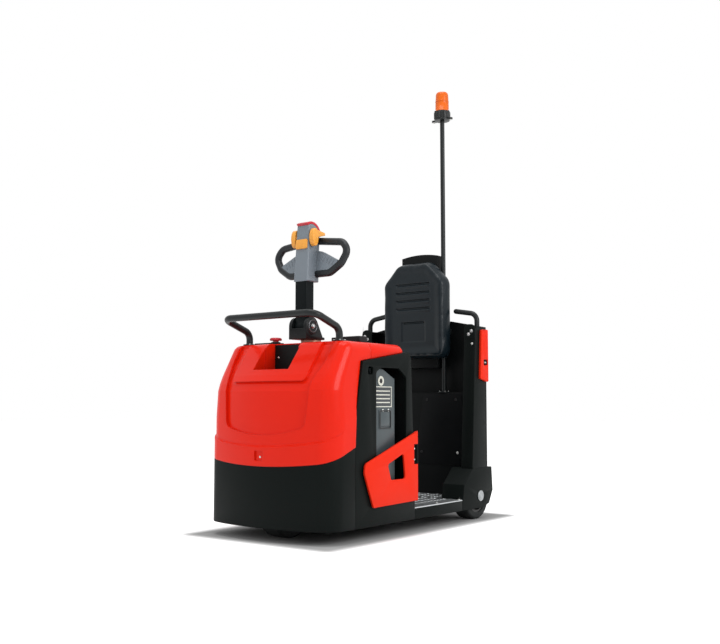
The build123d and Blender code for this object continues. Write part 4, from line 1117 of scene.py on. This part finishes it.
# ---- Dash controls -----------------------
# Crimson mushroom button with a knurled rim, on its collar and long black base, and the display: a
# black box with a sunk grey glass and a key-switch knob in a bright ring.
stop_red = finish(
    "stop_button_red", (0.50, 0.008, 0.022), 0.30, "fine", 900, 0.00003, mottle=0.05,
)
panel_black = finish(
    "panel_black_plastic", (0.006, 0.006, 0.007), 0.38, "pebble", 1300, 0.00004, wear=0.1,
    Specular_IOR_Level=0.2,
)
button_low, button_high = (Vector(corner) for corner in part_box("stop_button"))
button_middle = (button_low + button_high) / 2
button_radius = (button_high.x - button_low.x) / 2
button_place = (button_middle.x, button_middle.y, button_low.z)
button_rise = button_high.z - button_low.z
knurl_share, knurl_band = 0.035, 0.0002
eased("stop_button_base", 0.0022, panel_black)
mushroom = turned(button_place, [
    (0.0115, 0), (0.0115, 0.0080), (button_radius - 0.0015, 0.0088), (button_radius, 0.0105),
    (button_radius, button_rise - 0.0050), (button_radius - 0.0020, button_rise - 0.0020),
    (button_radius - 0.0060, button_rise - 0.0005), (0.006, button_rise),
], 64)
fluted(
    mushroom, button_place, 64, 2, 1, knurl_share,
    lambda radius, height: radius > button_radius - knurl_band,
)
settle(mushroom, "stop_button_cap", "stop_red", stop_red)
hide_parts("stop_button")
collar = turned(button_place, [
    (0.0180, 0), (0.0180, 0.0022), (0.0168, 0.0034), (0.0145, 0.0036), (0.0140, 0.0008),
], 40)
settle(collar, "stop_button_collar", "trim_black", beacon_black)
eased("dash_display", 0.0022, panel_black)
display_low, display_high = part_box("dash_display")
display_along = (display_low[1] + display_high[1]) / 2
glass_size, glass_shift = (0.090, 0.040, 0.0016), 0.016
knob_inset, knob_grip, knob_hollow = 0.018, 0.0085, 0.10
glass = block(glass_size, (
    (display_low[0] + display_high[0]) / 2 + glass_shift, display_along,
    display_high[2] + glass_size[2] / 2,
))
open_faces(glass, up)
inset((0.0035, 0), (0.0004, -0.0010))
glass.data.materials.append(panel_black)
glass.data.materials.append(finish(
    "display_glass", (0.30, 0.33, 0.34), 0.12, "peel", 60, 0.00001, mottle=0.12, Coat_Weight=0.6,
    Coat_Roughness=0.04,
))
glass.active_material_index = 1
bpy.ops.object.material_slot_assign()
end_edit(glass)
settle(glass, "display_glass", "trim_black")
knob_place = (display_low[0] + knob_inset, display_along, display_high[2])
ring = turned(knob_place, [(0.0125, 0), (0.0125, 0.0015), (0.0115, 0.0025), (0.0098, 0.0025)], 40)
settle(ring, "key_switch_ring", "bright_steel", chrome)
knob = turned(knob_place, [
    (0.0095, 0), (0.0095, 0.0060), (0.0088, 0.0080), (0.0070, 0.0088), (0.0020, 0.0090),
], 32)
fluted(knob, knob_place, 32, 4, 0, knob_hollow, lambda radius, height: radius > knob_grip)
settle(knob, "key_switch_knob", "trim_black", beacon_black)

# ---- Tiller ------------------------------
# Cast hub on a bronze-sleeved neck, black column, grey moulded head with ribbed wings, rubber hand
# loop, orange thumb paddles and horn pad, and the crimson reversing button over the crown.
hub_coat = finish(
    "tiller_hub_coat", (0.0055, 0.0070, 0.0075), 0.34, "cast", 500, 0.00009, wear=0.15,
    Specular_IOR_Level=0.2,
)
eased("tiller_hub", 0.0020, hub_coat, angle=40)
column_black = finish(
    "column_black_plastic", (0.0050, 0.0072, 0.0078), 0.36, "fine", 900, 0.00005, wear=0.12,
    Specular_IOR_Level=0.07,
)
eased("tiller_column", 0.0015, column_black, angle=40)
head_grey = finish(
    "tiller_head_grey", (0.175, 0.205, 0.235), 0.46, "pebble", 1300, 0.00006, mottle=0.06,
    wear=0.25,
)
coat_nodes(head_grey, "tiller_head")
loop_rubber = finish(
    "loop_rubber", (0.0080, 0.0105, 0.0125), 0.42, "pebble", 1000, 0.00006, mottle=0.15,
    Specular_IOR_Level=0.34,
)
coat_nodes(loop_rubber, "tiller_loop")
control_orange = finish(
    "control_orange", (0.84, 0.36, 0.045), 0.36, "fine", 1100, 0.00003, mottle=0.08,
)
eased("tiller_throttles", 0.0025, control_orange, angle=45)
eased("tiller_belly_button", 0.0015, stop_red, angle=40)
hub_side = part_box("tiller_hub")[1][0]
pivot = next(joint["pos_m"] for joint in frame["joints"] if joint["name"] == "tiller_tilt")
neck = next(joint["pos_m"] for joint in frame["joints"] if joint["name"] == "steering")
sleeve = turned((0, neck[1], hood_top), [
    (0.0370, 0.0004), (0.0386, 0.0010), (0.0386, 0.0170), (0.0376, 0.0178),
], 56)
sleeve_bronze = finish(
    "neck_sleeve_bronze", (0.34, 0.20, 0.14), 0.42, "fine", 500, 0.00006, mottle=0.25,
    stretch=(1, 1, 8), Metallic=0.55,
)
settle(sleeve, "neck_sleeve", "cast_grey", sleeve_bronze, body="tiller_base")
ring_steel = finish(
    "hub_ring_steel", (0.16, 0.16, 0.17), 0.22, "fine", 600, 0.00002, Metallic=1.0,
)
bpy.ops.mesh.primitive_torus_add(
    major_segments=48, minor_segments=8, major_radius=0.0225, minor_radius=0.0016,
    rotation=lying, location=(hub_side, pivot[1], pivot[2]),
)
hub_ring = bpy.context.object
bpy.ops.object.shade_smooth()
both_sides(hub_ring)
settle(hub_ring, "hub_rings", "cast_grey", ring_steel, body="tiller_base")
fasten(bolt_pattern, "hub_bolts", chrome, [
    ((side * hub_side, pivot[1], pivot[2]), (side, 0, 0), 0.0075) for side in (-1, 1)
], body="tiller_base")

horn_low, horn_high = (Vector(corner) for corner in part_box("tiller_horn"))
horn_thickness, horn_corner = 0.0052, 0.0060
horn_lean = math.atan2(horn_high.y - horn_low.y - 0.005, horn_high.z - horn_low.z)
horn = block(
    (horn_high.x - horn_low.x, horn_thickness, horn_high.z - horn_low.z - 0.001),
    (0, (horn_low.y + horn_high.y) / 2, (horn_low.z + horn_high.z) / 2), (-horn_lean, 0, 0),
)
bpy.ops.object.mode_set(mode="EDIT")
pick_edges(horn, lambda a, b: abs(a.y - b.y) > 0.003 and abs(a.z - b.z) < 0.004
           and abs(a.x - b.x) < 0.001)
bpy.ops.mesh.bevel(offset=horn_corner, segments=4)
bpy.ops.object.mode_set(mode="OBJECT")
rounded(horn, 0.0014)
settle(horn, "horn_pad", "control_orange", control_orange, body="tiller")
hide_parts("tiller_horn")

wing_lean = math.atan2(0.015, 0.130)
wing_root = (front + 0.278, 0.975)
wing_face, wing_slope = -0.0104, 27
rib_width, rib_thickness, rib_length, rib_shortening = 0.0032, 0.0024, 0.030, 0.0022
rib_reach, rib_pitch, rib_rise, rib_drop = 0.062, 0.0135, 0.064, 0.0068
ribs = []
for number in range(5):
    rib = block(
        (rib_width, rib_thickness, rib_length - rib_shortening * number),
        turn=(0, math.radians(wing_slope), 0),
    )
    rib.location = (rib_reach + rib_pitch * number, wing_face, rib_rise - rib_drop * number)
    freeze()
    rib.rotation_euler = (-wing_lean, 0, 0)
    rib.location = (0, *wing_root)
    freeze()
    rounded(rib, 0.0008)
    ribs.append(rib)
wing_ribs = joined(ribs)
both_sides(wing_ribs)
settle(wing_ribs, "wing_ribs", "head_grey", head_grey, body="tiller")

bpy.data.objects.remove(bolt_pattern)
bpy.data.objects.remove(screw_pattern)
